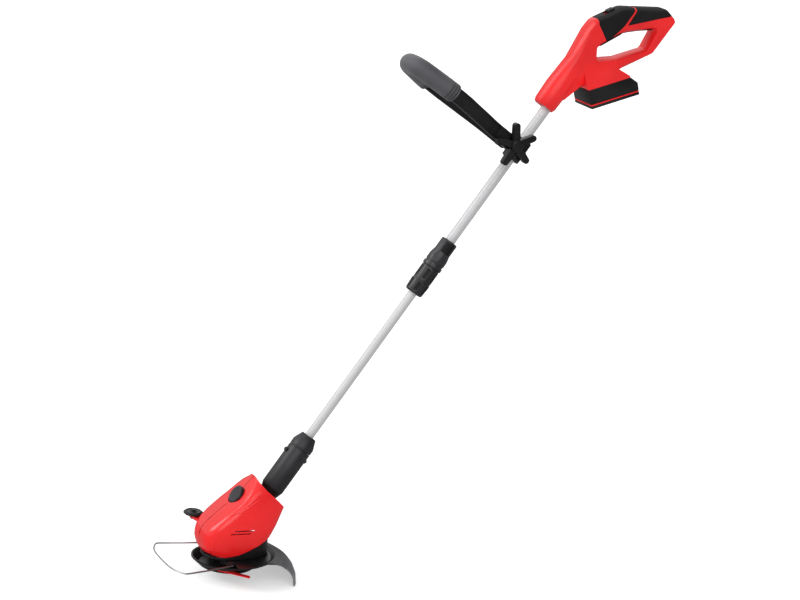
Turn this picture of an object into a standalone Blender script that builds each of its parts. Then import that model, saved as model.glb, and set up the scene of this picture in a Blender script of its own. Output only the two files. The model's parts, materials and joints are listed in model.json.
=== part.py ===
"""Cordless grass trimmer with a telescopic shaft, a tilting head and a swinging plastic blade.

Metres, +Z up. The origin is on the spindle's axis, at the flat underside of the cutting disc.
+X points to the user, -Y is the trimmer's left side. The shaft line starts at the head's tilt
pin; in its frame z runs up the shaft, y across it and x towards the ground side.
"""

import math

import bmesh
import bpy
import numpy as np
from mathutils import Matrix, Vector

# Fits
GAP = 0.0003
RUNNING = 0.0004
MERGE = 0.00005
THROUGH = 0.004

# Lie of the tool
TILT_PIN_X = 0.0678
TILT_PIN_Z = 0.1367
SHAFT_RISE = math.radians(56.74)
SHAFT_LEAN = math.pi / 2 - SHAFT_RISE

# Tubes
LOWER_TUBE_RADIUS = 0.0095
LOWER_TUBE_WALL = 0.001
LOWER_TUBE_START = 0.118
LOWER_TUBE_END = 0.780
UPPER_TUBE_RADIUS = 0.011
UPPER_TUBE_WALL = 0.0011
UPPER_TUBE_END = 1.085
PLUG_LENGTH = 0.020
PLUG_RIM = 0.006
CABLE_RADIUS = 0.0022
CABLE_TAIL = 0.012
LEAD_OUT = 0.042
TELESCOPE_TRAVEL = 0.25

# Cutting disc and blade
DISC_BOTTOM_RADIUS = 0.057
DISC_TOP_RADIUS = 0.075
DISC_HEIGHT = 0.018
DISC_WALL = 0.003
HUB_RADIUS = 0.011
HUB_HEIGHT = 0.0235
SPINDLE_RADIUS = 0.003
BLADE_PIN_X = -0.030
BLADE_PIN_Y = -0.041
BLADE_PIN_RADIUS = 0.0035
BLADE_REACH = 0.069
BLADE_WIDTH = 0.011
BLADE_THICKNESS = 0.002
BLADE_REST = math.radians(-46.0)
BLADE_WINDOW_HEIGHT = 0.0065
BLADE_WINDOW_BACK = 0.018
BLADE_WINDOW_HALF = 0.0545

# Head housing
SHELL_WALL = 0.0025
BASE_BOTTOM = 0.0250
BASE_FLANGE = 0.0055
BASE_TOP = 0.060
BASE_WALL = 0.003
BASE_FRONT = 0.057
BASE_REAR = 0.089
BASE_HALF = 0.0450
DRUM_FRONT = 0.044
DRUM_REAR = 0.086
DRUM_HALF = 0.0420
MOTOR_RADIUS = 0.023
MOTOR_BOTTOM = 0.040
MOTOR_HEIGHT = 0.062
TILT_PIN_RADIUS = 0.004
TILT_PIN_HALF = 0.0395
TILT_BOSS_RADIUS = 0.009
KNUCKLE_RADIUS = 0.016
KNUCKLE_HALF = 0.022
BUTTON_RADIUS = 0.0205
BUTTON_ALONG = -0.0185
BUTTON_TOP = 0.0645
BUTTON_TRAVEL = 0.004
BUTTON_STEM_RADIUS = 0.006
BUTTON_FLANGE = 0.0025
SHELF_TOP = 0.029
SHELF_THICKNESS = 0.003
SHELF_HALF = 0.012
REAR_SLOT_ROOM = 0.0022
REAR_SLOT_FRONT = 0.0118
REAR_SLOT_DEPTH = 0.0265
SPRING_WIRE = 0.0007
VENT_LENGTH = 0.044
VENT_WIDTH = 0.0025
VENT_X = 0.012
VENT_Z = 0.0915
VENT_PITCH = 0.0065

# Edging wheel
WHEEL_X = -0.054
WHEEL_Y = 0.074
WHEEL_Z = 0.087
WHEEL_RADIUS = 0.021
WHEEL_THICKNESS = 0.008
WHEEL_AXLE_RADIUS = 0.003
WHEEL_ARM_THICKNESS = 0.006
WHEEL_ARM_HALF = 0.009

# Guard and plant wire
GUARD_PLATE_Z = 0.0215
GUARD_WALL = 0.003
GUARD_STEP_RADIUS = 0.102
GUARD_STEP_Z = 0.0300
GUARD_RADIUS = 0.150
GUARD_LOW_Z = -0.026
GUARD_FLAT_RADIUS = 0.0925
GUARD_HALF_FRONT = 0.092
GUARD_HALF_REAR = 0.080
GUARD_SCREW_X = 0.030
GUARD_SCREW_Y = 0.037
SCREW_RADIUS = 0.0018
WIRE_RADIUS = 0.00175
WIRE_HINGE_X = -0.014
WIRE_HINGE_Y = 0.070
WIRE_HINGE_Z = 0.0230
WIRE_FRONT_X = -0.1455
WIRE_FRONT_HALF = 0.090
WIRE_CORNER_X = -0.122

# Neck
SLEEVE_BOTTOM = 0.034
SLEEVE_TOP = 0.1347
SLEEVE_RADIUS = 0.025
SLEEVE_WALL = 0.0047
GUIDE_PIN_ALONG = 0.119
GUIDE_PIN_RADIUS = 0.0047
GUIDE_PIN_REACH = 0.0313
GUIDE_GROOVE_DEPTH = 0.0025
SOCKET_BOTTOM = 0.060
SOCKET_CABLE_RADIUS = 0.0145
SOCKET_STUB_RADIUS = 0.0117
COLLAR_SEAM = 0.0010
COLLAR_STRAIGHT = 0.0130
COLLAR_HEIGHT = 0.0325
COLLAR_TOP_RADIUS = 0.017
COLLAR_TOP_WALL = 0.0018
COLLAR_FLOOR = 0.0025
COLLAR_SKIRT = 0.0110
STOP_RING_DROP = 0.0035
STOP_RING_THICKNESS = 0.0030

# Telescope lock
TWIST_START = 0.540
TWIST_LENGTH = 0.0655
TWIST_MOUTH_RADIUS = 0.017
TWIST_RADIUS = 0.0215
LOCK_BODY_RADIUS = 0.0215
LOCK_BODY_LENGTH = 0.067
LOCK_RING_RADIUS = 0.022
LOCK_RING_LENGTH = 0.008
LOCK_NOSE_RADIUS = 0.0140
LOCK_NOSE_LENGTH = 0.034
LOCK_STOP_DEPTH = 0.021
WEDGE_LENGTH = 0.019
WEDGE_THICK = 0.0035
WEDGE_THIN = 0.0018
WEDGE_SLIT = 0.003

# Second handle
AUX_ALONG = 0.913
AUX_CLAMP_LENGTH = 0.050
AUX_CLAMP_RADIUS = 0.020
AUX_CLAMP_HALF = 0.0295
AUX_FLANGE = 0.007
AUX_SCREW_OUT = 0.0248
AUX_BOLT_OUT = 0.031
AUX_BOLT_RADIUS = 0.004
AUX_BLOCK_HALF = 0.0155
AUX_BAR_WIDTH = 0.031
AUX_BAR_DEPTH = 0.013
AUX_RECESS = 0.0055
AUX_RIM = 0.003
AUX_EYE_PROUD = 0.0006
AUX_LEG_OUT = 0.232
AUX_LEG_HALF = 0.062
AUX_TOP_OUT = 0.316
AUX_TOP_HALF = 0.030
AUX_GRIP_RADIUS = 0.021
AUX_KNOB_RADIUS = 0.048
AUX_KNOB_HUB = 0.013
AUX_KNOB_ROOM = 0.008
AUX_EYE_REACH = 0.013
AUX_KNOB_DEPTH = 0.024
AUX_NUT_RADIUS = 0.0075

# Rear handle
HANDLE_HALF = 0.0215
HANDLE_ROUND = 0.0095
NOSE_START = 1.019
NOSE_OFFSET = 0.0090
NOSE_RADIUS = 0.0255
NOSE_ROOT_RADIUS = 0.0290
NOSE_LENGTH = 0.135
PAD_DEPTH = 0.0020
FOOT_HALF = 0.038
FOOT_LENGTH = 0.101
TRIGGER_HALF = 0.0075
TRIGGER_THICKNESS = 0.0085
TRIGGER_TRAVEL = math.radians(5.0)
SLIDER_HALF = 0.0075
SLIDER_LENGTH = 0.016
SLIDER_TRAVEL = 0.006

# Battery
BATTERY_CORNER_X = 0.716
BATTERY_CORNER_Z = 0.996
BATTERY_SLOPE = math.radians(17.6)
BATTERY_LENGTH = 0.118
BATTERY_HALF = 0.038
BATTERY_HEIGHT = 0.043
BATTERY_CHAMFER = 0.0165
BATTERY_WALL = 0.0025
BATTERY_TRAY = 0.007
BATTERY_BAND = 0.003
CELL_RADIUS = 0.0091
CELL_HALF = 0.0325
CELL_COUNT = 5
RAIL_HALF = 0.022
RAIL_HEIGHT = 0.007
RAIL_START = 0.008
RAIL_LENGTH = 0.088

RED = (0.78, 0.012, 0.014, 1.0)
BLACK = (0.012, 0.012, 0.013, 1.0)
CHARCOAL = (0.035, 0.036, 0.040, 1.0)
GREY = (0.16, 0.16, 0.17, 1.0)
SILVER = (0.62, 0.62, 0.63, 1.0)
STEEL = (0.45, 0.45, 0.46, 1.0)
BLUE = (0.06, 0.12, 0.25, 1.0)

FINISH = {
    "red_plastic": (RED, 0.30, 0.0),
    "black_plastic": (BLACK, 0.45, 0.0),
    "dark_plastic": (CHARCOAL, 0.5, 0.0),
    "grey_rubber": (GREY, 0.7, 0.0),
    "soft_black": (BLACK, 0.8, 0.0),
    "bare_aluminium": (SILVER, 0.35, 1.0),
    "plain_steel": (STEEL, 0.3, 1.0),
    "cell_wrap": (BLUE, 0.4, 0.0),
}


def clear_scene():
    for old in list(bpy.data.objects):
        bpy.data.objects.remove(old, do_unlink=True)


def new_collection(name):
    made = bpy.data.collections.new(name)
    bpy.context.scene.collection.children.link(made)
    return made


clear_scene()
PARTS = new_collection("grass_trimmer")
CUTTERS = new_collection("cutters")


def frame_empty(name, matrix, parent=None):
    """An empty that stands for a frame of the tool; the pieces hang from it."""
    empty = bpy.data.objects.new(name, None)
    empty.empty_display_size = 0.02
    PARTS.objects.link(empty)
    empty.parent = parent
    empty.matrix_basis = matrix
    return empty


SHAFT_MATRIX = Matrix.Translation((TILT_PIN_X, 0, TILT_PIN_Z)) @ Matrix.Rotation(SHAFT_LEAN, 4, "Y")
BATTERY_MATRIX = (
    Matrix.Translation((BATTERY_CORNER_X, 0, BATTERY_CORNER_Z))
    @ Matrix.Rotation(-BATTERY_SLOPE, 4, "Y")
)
HEAD = frame_empty("head_frame", Matrix.Identity(4))
SHAFT = frame_empty("shaft_frame", SHAFT_MATRIX)
REAR = frame_empty("rear_handle_frame", Matrix.Identity(4))
PACK = frame_empty("battery_frame", BATTERY_MATRIX)


def finish(name, slot):
    """A Principled material for one piece."""
    colour, rough, metal = FINISH[slot]
    made = bpy.data.materials.new(name + "_" + slot)
    made.use_nodes = True
    shader = made.node_tree.nodes["Principled BSDF"]
    shader.inputs["Base Color"].default_value = colour
    shader.inputs["Roughness"].default_value = rough
    shader.inputs["Metallic"].default_value = metal
    return made


def place(name, mesh, frame, at=(0, 0, 0), turn=None, slot=None):
    """A mesh as an object in a frame; a slot makes it a part, no slot makes it a cutter."""
    made = bpy.data.objects.new(name, mesh)
    made.parent = frame
    made.matrix_basis = Matrix.Translation(at) @ (turn or Matrix.Identity(4))
    if slot:
        PARTS.objects.link(made)
        mesh.materials.append(finish(name, slot))
    else:
        CUTTERS.objects.link(made)
        made.hide_render = True
        made.display_type = "WIRE"
    return made


def mesh_of(name, shape):
    mesh = bpy.data.meshes.new(name)
    shape.normal_update()
    shape.to_mesh(mesh)
    shape.free()
    return mesh


def box(name, low, high, frame, at=(0, 0, 0), turn=None, slot=None, round_edges=0.0, segments=2):
    """A box between two corners, with rounded edges if asked."""
    corners = np.sort(np.array([low, high]), axis=0)
    low, high = (Vector(corner) for corner in corners)
    shape = bmesh.new()
    middle = Matrix.Translation((low + high) / 2)
    bmesh.ops.create_cube(shape, size=1.0, matrix=middle @ Matrix.Diagonal((*(high - low), 1)))
    made = place(name, mesh_of(name, shape), frame, at, turn, slot)
    if round_edges:
        bevel(made, round_edges, segments)
    return made


def rod(name, radius, low, high, frame, at=(0, 0, 0), turn=None, slot=None, steps=24, top=None):
    """A round bar along its own z, or a cone where the top has another radius."""
    shape = bmesh.new()
    bmesh.ops.create_cone(
        shape,
        cap_ends=True,
        segments=steps,
        radius1=radius,
        radius2=radius if top is None else top,
        depth=high - low,
        matrix=Matrix.Translation((0, 0, (low + high) / 2)),
    )
    made = place(name, mesh_of(name, shape), frame, at, turn, slot)
    smooth(made)
    return made


ALONG_Y = Matrix.Rotation(-math.pi / 2, 4, "X")
ALONG_X = Matrix.Rotation(math.pi / 2, 4, "Y")
TO_LEFT = ALONG_Y.inverted()


def smooth(made, angle=math.radians(35)):
    made.data.shade_smooth()
    made.data.set_sharp_from_angle(angle=angle)


def bevel(made, width, segments=2, angle=math.radians(40)):
    edge = made.modifiers.new("rounded_edges", "BEVEL")
    edge.width = width
    edge.segments = segments
    edge.limit_method = "ANGLE"
    edge.angle_limit = angle
    edge.use_clamp_overlap = True
    return edge


def turned(name, profile, frame, at=(0, 0, 0), turn=None, slot=None, steps=32, ring=True):
    """A turned piece: (radius, height) points, down the outer side and back up the bore."""
    shape = bmesh.new()
    points = [shape.verts.new((r, 0, z)) for r, z in profile]
    for first, second in zip(points, points[1:]):
        shape.edges.new((first, second))
    if ring:
        shape.edges.new((points[-1], points[0]))
    mesh = bpy.data.meshes.new(name)
    shape.to_mesh(mesh)
    shape.free()
    made = place(name, mesh, frame, at, turn, slot)
    screw = made.modifiers.new("turned", "SCREW")
    screw.axis = "Z"
    screw.steps = steps
    screw.render_steps = steps
    screw.use_merge_vertices = True
    screw.merge_threshold = MERGE
    screw.use_smooth_shade = True
    return made


def outline_mesh(name, points, half):
    """A flat outline in the xz plane, given as (x, z), filled and thickened along y."""
    curve = bpy.data.curves.new(name, "CURVE")
    curve.dimensions = "2D"
    curve.fill_mode = "BOTH"
    curve.extrude = half
    for loop in points if isinstance(points[0][0], (tuple, list)) else [points]:
        spline = curve.splines.new("POLY")
        spline.points.add(len(loop) - 1)
        for point, (x, z) in zip(spline.points, loop):
            point.co = (x, z, 0, 1)
        spline.use_cyclic_u = True
    return curve_to_mesh(name, curve, Matrix.Rotation(math.pi / 2, 4, "X"))


def curve_to_mesh(name, curve, turn=None):
    """A curve's evaluated surface as a closed mesh, with its caps welded on."""
    holder = bpy.data.objects.new(name + "_line", curve)
    CUTTERS.objects.link(holder)
    bpy.context.view_layer.update()
    ready = holder.evaluated_get(bpy.context.evaluated_depsgraph_get())
    mesh = bpy.data.meshes.new_from_object(ready)
    mesh.name = name
    bpy.data.objects.remove(holder, do_unlink=True)
    shape = bmesh.new()
    shape.from_mesh(mesh)
    bmesh.ops.remove_doubles(shape, verts=shape.verts, dist=MERGE)
    if turn:
        bmesh.ops.transform(shape, matrix=turn, verts=shape.verts)
    bmesh.ops.recalc_face_normals(shape, faces=shape.faces)
    mesh.clear_geometry()
    shape.to_mesh(mesh)
    shape.free()
    mesh.materials.clear()
    return mesh


def plate(name, points, low, high, frame, at=(0, 0, 0), turn=None, slot=None, edge=0.0, segments=2):
    """A flat outline in the xz plane of a frame, reaching from low to high along y."""
    mesh = outline_mesh(name, points, (high - low) / 2)
    mesh.transform(Matrix.Translation((0, (low + high) / 2, 0)))
    made = place(name, mesh, frame, at, turn, slot)
    if edge:
        bevel(made, edge, segments, math.radians(50))
    return made


def tube(name, route, radius, frame, slot=None, sides=2, cyclic=False):
    """A round wire through the points of a route, with filled ends."""
    curve = bpy.data.curves.new(name, "CURVE")
    curve.dimensions = "3D"
    curve.bevel_depth = radius
    curve.bevel_resolution = sides
    curve.use_fill_caps = True
    spline = curve.splines.new("POLY")
    spline.points.add(len(route) - 1)
    for point, place_at in zip(spline.points, route):
        point.co = (*place_at, 1)
    spline.use_cyclic_u = cyclic
    made = place(name, curve_to_mesh(name, curve), frame, slot=slot)
    smooth(made)
    return made


def helix(radius, low, high, turns, steps=8):
    """Points of a coil about z."""
    count = int(turns * steps)
    return [
        (
            radius * math.cos(math.tau * k / steps),
            radius * math.sin(math.tau * k / steps),
            low + (high - low) * k / count,
        )
        for k in range(count + 1)
    ]


def boolean(made, tool, operation):
    step = made.modifiers.new(operation.lower(), "BOOLEAN")
    step.operation = operation
    step.solver = "EXACT"
    step.object = tool
    return made


def cut(made, *tools):
    for tool in tools:
        boolean(made, tool, "DIFFERENCE")
    return made


def join(made, *tools):
    for tool in tools:
        boolean(made, tool, "UNION")
    return made


def keep(made, tool):
    return boolean(made, tool, "INTERSECT")


def rounded(corners, steps=4):
    """A closed outline whose corners (x, z, radius) are rounded with arcs."""
    points = []
    count = len(corners)
    for k in range(count):
        x, z, radius = corners[k]
        here = Vector((x, z))
        back = (Vector(corners[k - 1][:2]) - here).normalized()
        ahead = (Vector(corners[(k + 1) % count][:2]) - here).normalized()
        if radius <= 0:
            points.append((x, z))
            continue
        half = back.angle(ahead) / 2
        reach = radius / math.tan(half)
        centre = here + (back + ahead).normalized() * (radius / math.sin(half))
        first = here + back * reach - centre
        last = here + ahead * reach - centre
        sweep = first.angle_signed(last)
        for step in range(steps + 1):
            spin = Matrix.Rotation(-sweep * step / steps, 2)
            point = centre + spin @ first
            points.append((point.x, point.y))
    return points


def inset(corners, distance):
    """The same corners moved inwards by a distance; the outline runs clockwise in x and z."""
    moved = []
    count = len(corners)
    for k in range(count):
        x, z, radius = corners[k]
        here = Vector((x, z))
        first = (here - Vector(corners[k - 1][:2])).normalized()
        second = (Vector(corners[(k + 1) % count][:2]) - here).normalized()
        normal = Vector((first.y, -first.x)) + Vector((second.y, -second.x))
        normal.normalize()
        reach = distance / max(0.3, normal.dot(Vector((first.y, -first.x))))
        point = here + normal * reach
        moved.append((point.x, point.y, max(0.0005, radius - distance)))
    return moved


def turned_tube(name, outer, wall, low, high, slot, steps=24):
    inner = outer - wall
    return turned(
        name, [(outer, high), (outer, low), (inner, low), (inner, high)], SHAFT, slot=slot, steps=steps
    )


def shaft_tubes():
    """The two aluminium tubes, the plug that steadies the inner one, and the lead inside it."""
    turned_tube(
        "lower_tube", LOWER_TUBE_RADIUS, LOWER_TUBE_WALL, LOWER_TUBE_START + GAP, LOWER_TUBE_END,
        "bare_aluminium",
    )
    start = TWIST_START + TWIST_LENGTH - LOCK_NOSE_LENGTH + LOCK_STOP_DEPTH + GAP
    turned_tube(
        "upper_tube", UPPER_TUBE_RADIUS, UPPER_TUBE_WALL, start, UPPER_TUBE_END, "bare_aluminium"
    )
    rim = UPPER_TUBE_RADIUS - UPPER_TUBE_WALL - GAP
    stub = LOWER_TUBE_RADIUS - LOWER_TUBE_WALL - GAP
    bore = stub - 0.003
    top = LOWER_TUBE_END + GAP
    turned(
        "tube_plug",
        [(rim, top + PLUG_RIM), (rim, top), (stub, top), (stub, top - PLUG_LENGTH),
         (bore, top - PLUG_LENGTH), (bore, top + PLUG_RIM)],
        SHAFT, slot="dark_plastic", steps=24,
    )
    low = SOCKET_BOTTOM + CABLE_TAIL
    high = LOWER_TUBE_END + PLUG_RIM
    tube(
        "lower_cable", [(0, 0, low + (high - low) * k / 12) for k in range(13)], CABLE_RADIUS, SHAFT,
        "soft_black", sides=1,
    )


def collar_bottom():
    return SLEEVE_TOP + COLLAR_SEAM


def neck():
    """Knuckle, sleeve and guide pins turn with the head; socket, collar and spring stay on the tube."""
    bore = SLEEVE_RADIUS - SLEEVE_WALL
    sleeve = turned(
        "neck_sleeve",
        [(SLEEVE_RADIUS, SLEEVE_TOP), (SLEEVE_RADIUS, SLEEVE_BOTTOM + 0.003),
         (SLEEVE_RADIUS - 0.0015, SLEEVE_BOTTOM), (bore, SLEEVE_BOTTOM), (bore, SLEEVE_TOP)],
        SHAFT, slot="dark_plastic", steps=32,
    )
    for side in (-1, 1):
        hole = rod("guide_hole", GUIDE_PIN_RADIUS + GAP, 0.010, 0.040, SHAFT,
                   (0, 0, GUIDE_PIN_ALONG), ALONG_X if side > 0 else ALONG_X.inverted())
        cut(sleeve, hole)
        notch = box("sleeve_notch", (-0.003, side * SLEEVE_RADIUS - 0.0016, -0.0055),
                    (0.003, side * SLEEVE_RADIUS + 0.0016, 0.0055), SHAFT,
                    (0, 0, GUIDE_PIN_ALONG - 0.004))
        cut(sleeve, notch)
    guide_pins(bore)
    tilt_knuckle(bore)
    tube_socket(bore)
    lock_collar(bore)


def guide_pins(bore):
    """Two pins through the sleeve that run in the socket's groove, so it turns but can't slide."""
    inner = bore - GUIDE_GROOVE_DEPTH + GAP
    for name, turn in (("guide_pin_rear", ALONG_X), ("guide_pin_front", ALONG_X.inverted())):
        turned(
            name,
            [(0, GUIDE_PIN_REACH), (GUIDE_PIN_RADIUS * 0.62, GUIDE_PIN_REACH - 0.0004),
             (GUIDE_PIN_RADIUS, GUIDE_PIN_REACH - 0.0025), (GUIDE_PIN_RADIUS, inner), (0, inner)],
            SHAFT, (0, 0, GUIDE_PIN_ALONG), turn, "dark_plastic", 16, False,
        )


def tilt_knuckle(bore):
    """Barrel round the tilt pin with a stem that plugs into the sleeve."""
    stem = bore - GAP
    knuckle = rod("tilt_knuckle", KNUCKLE_RADIUS, -KNUCKLE_HALF, KNUCKLE_HALF, SHAFT,
                  turn=ALONG_Y, slot="black_plastic", steps=20)
    neck_stem = turned(
        "knuckle_stem",
        [(0, SOCKET_BOTTOM - 0.002), (stem, SOCKET_BOTTOM - 0.002), (stem, SLEEVE_BOTTOM - GAP),
         (SLEEVE_RADIUS - 0.0015, SLEEVE_BOTTOM - GAP), (SLEEVE_RADIUS - 0.003, SLEEVE_BOTTOM - 0.006),
         (KNUCKLE_RADIUS - 0.003, 0.004), (0, 0.004)],
        SHAFT, steps=20, ring=False,
    )
    join(knuckle, neck_stem)
    pin_hole = rod("knuckle_pin_hole", TILT_PIN_RADIUS + RUNNING, -KNUCKLE_HALF - THROUGH,
                   KNUCKLE_HALF + THROUGH, SHAFT, turn=ALONG_Y, steps=20)
    cable_hole = rod("knuckle_cable_hole", 0.005, KNUCKLE_RADIUS - 0.006, SOCKET_BOTTOM + THROUGH,
                     SHAFT, steps=16)
    cut(knuckle, cable_hole, pin_hole)


def tube_socket(bore):
    """Moulding on the lower tube's end; the sleeve swivels on it and the collar slides on it."""
    outer = bore - GAP
    low = collar_bottom()
    shoulder = low + COLLAR_SKIRT - 0.001
    stub_top = low + COLLAR_HEIGHT - 0.001
    tube_bore = LOWER_TUBE_RADIUS + GAP
    groove = GUIDE_PIN_RADIUS + RUNNING
    turned(
        "tube_socket",
        [(SOCKET_STUB_RADIUS, stub_top), (SOCKET_STUB_RADIUS, shoulder), (outer, shoulder),
         (outer, GUIDE_PIN_ALONG + groove), (outer - GUIDE_GROOVE_DEPTH, GUIDE_PIN_ALONG + groove),
         (outer - GUIDE_GROOVE_DEPTH, GUIDE_PIN_ALONG - groove), (outer, GUIDE_PIN_ALONG - groove),
         (outer, SOCKET_BOTTOM), (SOCKET_CABLE_RADIUS, SOCKET_BOTTOM),
         (SOCKET_CABLE_RADIUS, LOWER_TUBE_START - 0.006), (tube_bore - 0.003, LOWER_TUBE_START - 0.006),
         (tube_bore - 0.003, LOWER_TUBE_START), (tube_bore, LOWER_TUBE_START), (tube_bore, stub_top)],
        SHAFT, slot="black_plastic", steps=20,
    )


def lock_collar(bore):
    """Eight-sided collar that is pulled up against its spring to let the head turn."""
    low = collar_bottom()
    top = low + COLLAR_HEIGHT
    floor_low = low + COLLAR_SKIRT
    floor_top = floor_low + COLLAR_FLOOR
    top_bore = COLLAR_TOP_RADIUS - COLLAR_TOP_WALL
    floor_bore = SOCKET_STUB_RADIUS + RUNNING
    collar = turned(
        "lock_collar",
        [(COLLAR_TOP_RADIUS, top), (SLEEVE_RADIUS, low + COLLAR_STRAIGHT), (SLEEVE_RADIUS, low),
         (bore, low), (bore, floor_low), (floor_bore, floor_low), (floor_bore, floor_top),
         (top_bore, floor_top), (top_bore, top)],
        SHAFT, slot="dark_plastic", steps=32,
    )
    for k in range(8):
        spin = Matrix.Rotation(math.tau * (k + 0.5) / 8, 4, "Z")
        lean = math.atan2(SLEEVE_RADIUS - COLLAR_TOP_RADIUS, COLLAR_HEIGHT - COLLAR_STRAIGHT)
        facet = box(
            "collar_facet", (0, -0.02, -0.004), (0.01, 0.02, 0.04), SHAFT,
            spin @ Vector((SLEEVE_RADIUS - 0.0009, 0, low + COLLAR_STRAIGHT)),
            spin @ Matrix.Rotation(-lean, 4, "Y"),
        )
        cut(collar, facet)
    ring_low = top - STOP_RING_DROP - STOP_RING_THICKNESS
    turned(
        "stop_ring",
        [(top_bore - GAP, ring_low + STOP_RING_THICKNESS), (top_bore - GAP, ring_low),
         (SOCKET_STUB_RADIUS + GAP, ring_low), (SOCKET_STUB_RADIUS + GAP, ring_low + STOP_RING_THICKNESS)],
        SHAFT, slot="plain_steel", steps=16,
    )
    coil = (top_bore + SOCKET_STUB_RADIUS) / 2
    tube("collar_spring", helix(coil, floor_top + SPRING_WIRE + GAP, ring_low - SPRING_WIRE - GAP, 2.5),
         SPRING_WIRE, SHAFT, "plain_steel", sides=1)


HEAD_SECTIONS = (
    (0.044, 0.0520, 0.006, -0.030, 0.0425, 2.0),
    (0.031, 0.0532, 0.006, -0.032, 0.0445, 2.2),
    (0.018, 0.0545, 0.010, -0.034, 0.0465, 3.4),
    (0.000, 0.0560, 0.013, -0.038, 0.0495, 4.8),
    (-0.020, 0.0585, 0.014, -0.042, 0.0530, 5.8),
    (-0.050, 0.0680, 0.016, -0.046, 0.0550, 6.0),
    (-0.090, 0.0795, 0.022, -0.050, 0.0540, 5.6),
    (-0.110, 0.0825, 0.028, -0.048, 0.0505, 4.6),
    (-0.125, 0.0795, 0.036, -0.040, 0.0470, 4.0),
    (-0.138, 0.0710, 0.044, -0.016, 0.0430, 3.6),
    (-0.147, 0.0610, 0.048, 0.020, 0.0360, 3.2),
    (-0.1525, 0.0530, 0.0505, 0.048, 0.0150, 2.4),
)
HEAD_LOWER_POWER = 4.4


def head_section(along):
    """Top, widest height, bottom, half width and roundness of the head at a place along the shaft."""
    table = np.array(HEAD_SECTIONS)[::-1]
    return [float(np.interp(along, table[:, 0], table[:, k])) for k in range(1, 6)]


def head_point(along, angle, shrink):
    """A point of the head's egg in shaft coordinates; angle 0 is the top seam, a half turn the bottom."""
    top, wide, bottom, half, upper_power = head_section(along)
    rise = math.cos(angle)
    side = math.sin(angle)
    power = upper_power if rise >= 0 else HEAD_LOWER_POWER
    reach = max(0.0002, (top - wide if rise >= 0 else wide - bottom) - shrink)
    out = wide + math.copysign(reach * abs(rise) ** (2 / power), rise)
    across = max(0.0002, half - shrink) * math.copysign(abs(side) ** (2 / power), side)
    return Vector((-out, -across, along))


def head_egg(name, shrink, mouth, slot=None):
    """The egg as a closed solid: a loft of rings along the shaft with a cap at each end."""
    tip = -0.1520 + shrink
    alongs = [mouth, 0.030, 0.016, 0.0, -0.022, -0.042, -0.062, -0.080, -0.096, -0.109, -0.120, -0.129,
              -0.137, -0.1435, -0.148, tip]
    count = 28
    shape = bmesh.new()
    rings = [
        [shape.verts.new(head_point(along, math.tau * k / count, shrink)) for k in range(count)]
        for along in alongs
    ]
    for upper, lower in zip(rings, rings[1:]):
        for k in range(count):
            shape.faces.new((upper[k], lower[k], lower[(k + 1) % count], upper[(k + 1) % count]))
    shape.faces.new(rings[0])
    shape.faces.new(list(reversed(rings[-1])))
    bmesh.ops.recalc_face_normals(shape, faces=shape.faces)
    made = place(name, mesh_of(name, shape), SHAFT, slot=slot)
    smooth(made, math.radians(30))
    return made


RIM_LINE = (
    (-0.110, 0.0445), (-0.062, 0.0390), (-0.048, 0.0335), (-0.034, 0.0310), (-0.021, 0.0312),
    (0.006, 0.0370), (0.028, 0.0480), (0.050, 0.0590), (0.078, 0.0755), (0.130, 0.0860),
    (0.130, -0.050), (-0.110, -0.050),
)
MOUTH_LINE = (
    (0.060, 0.0150), (0.030, 0.0182), (-0.002, 0.0235), (-0.030, 0.0268), (-0.045, 0.0310),
    (-0.053, 0.0362), (-0.070, 0.0450), (-0.070, 0.120), (0.060, 0.120),
)


def head_shells():
    """Two red half shells: the egg's skin, open below the rim line and round the neck."""
    for side, name in ((-1, "head_shell_left"), (1, "head_shell_right")):
        shell = head_egg(name, 0.0, 0.042, "red_plastic")
        half = box("head_half", (-0.3, side * GAP / 2, -0.3), (0.3, side * 0.3, 0.3), SHAFT)
        keep(shell, half)
        cut(shell, head_egg("head_inside", SHELL_WALL, 0.060))
        boss_inner = KNUCKLE_HALF + RUNNING
        boss_outer = head_section(0.0)[3] - SHELL_WALL / 2
        boss = rod("tilt_boss", TILT_BOSS_RADIUS, boss_inner, boss_outer, SHAFT,
                   turn=ALONG_Y if side > 0 else ALONG_Y.inverted(), steps=20)
        shelf_out = head_section(BUTTON_ALONG - SHELF_HALF)[3] - SHELL_WALL / 2
        shelf = box("spring_shelf", (-SHELF_TOP, side * GAP, BUTTON_ALONG - SHELF_HALF),
                    (-SHELF_TOP + SHELF_THICKNESS, side * shelf_out, BUTTON_ALONG + SHELF_HALF), SHAFT)
        join(shell, boss, shelf)
        if side > 0:
            wheel_arm(shell)
        head_cuts(shell, side)


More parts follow.
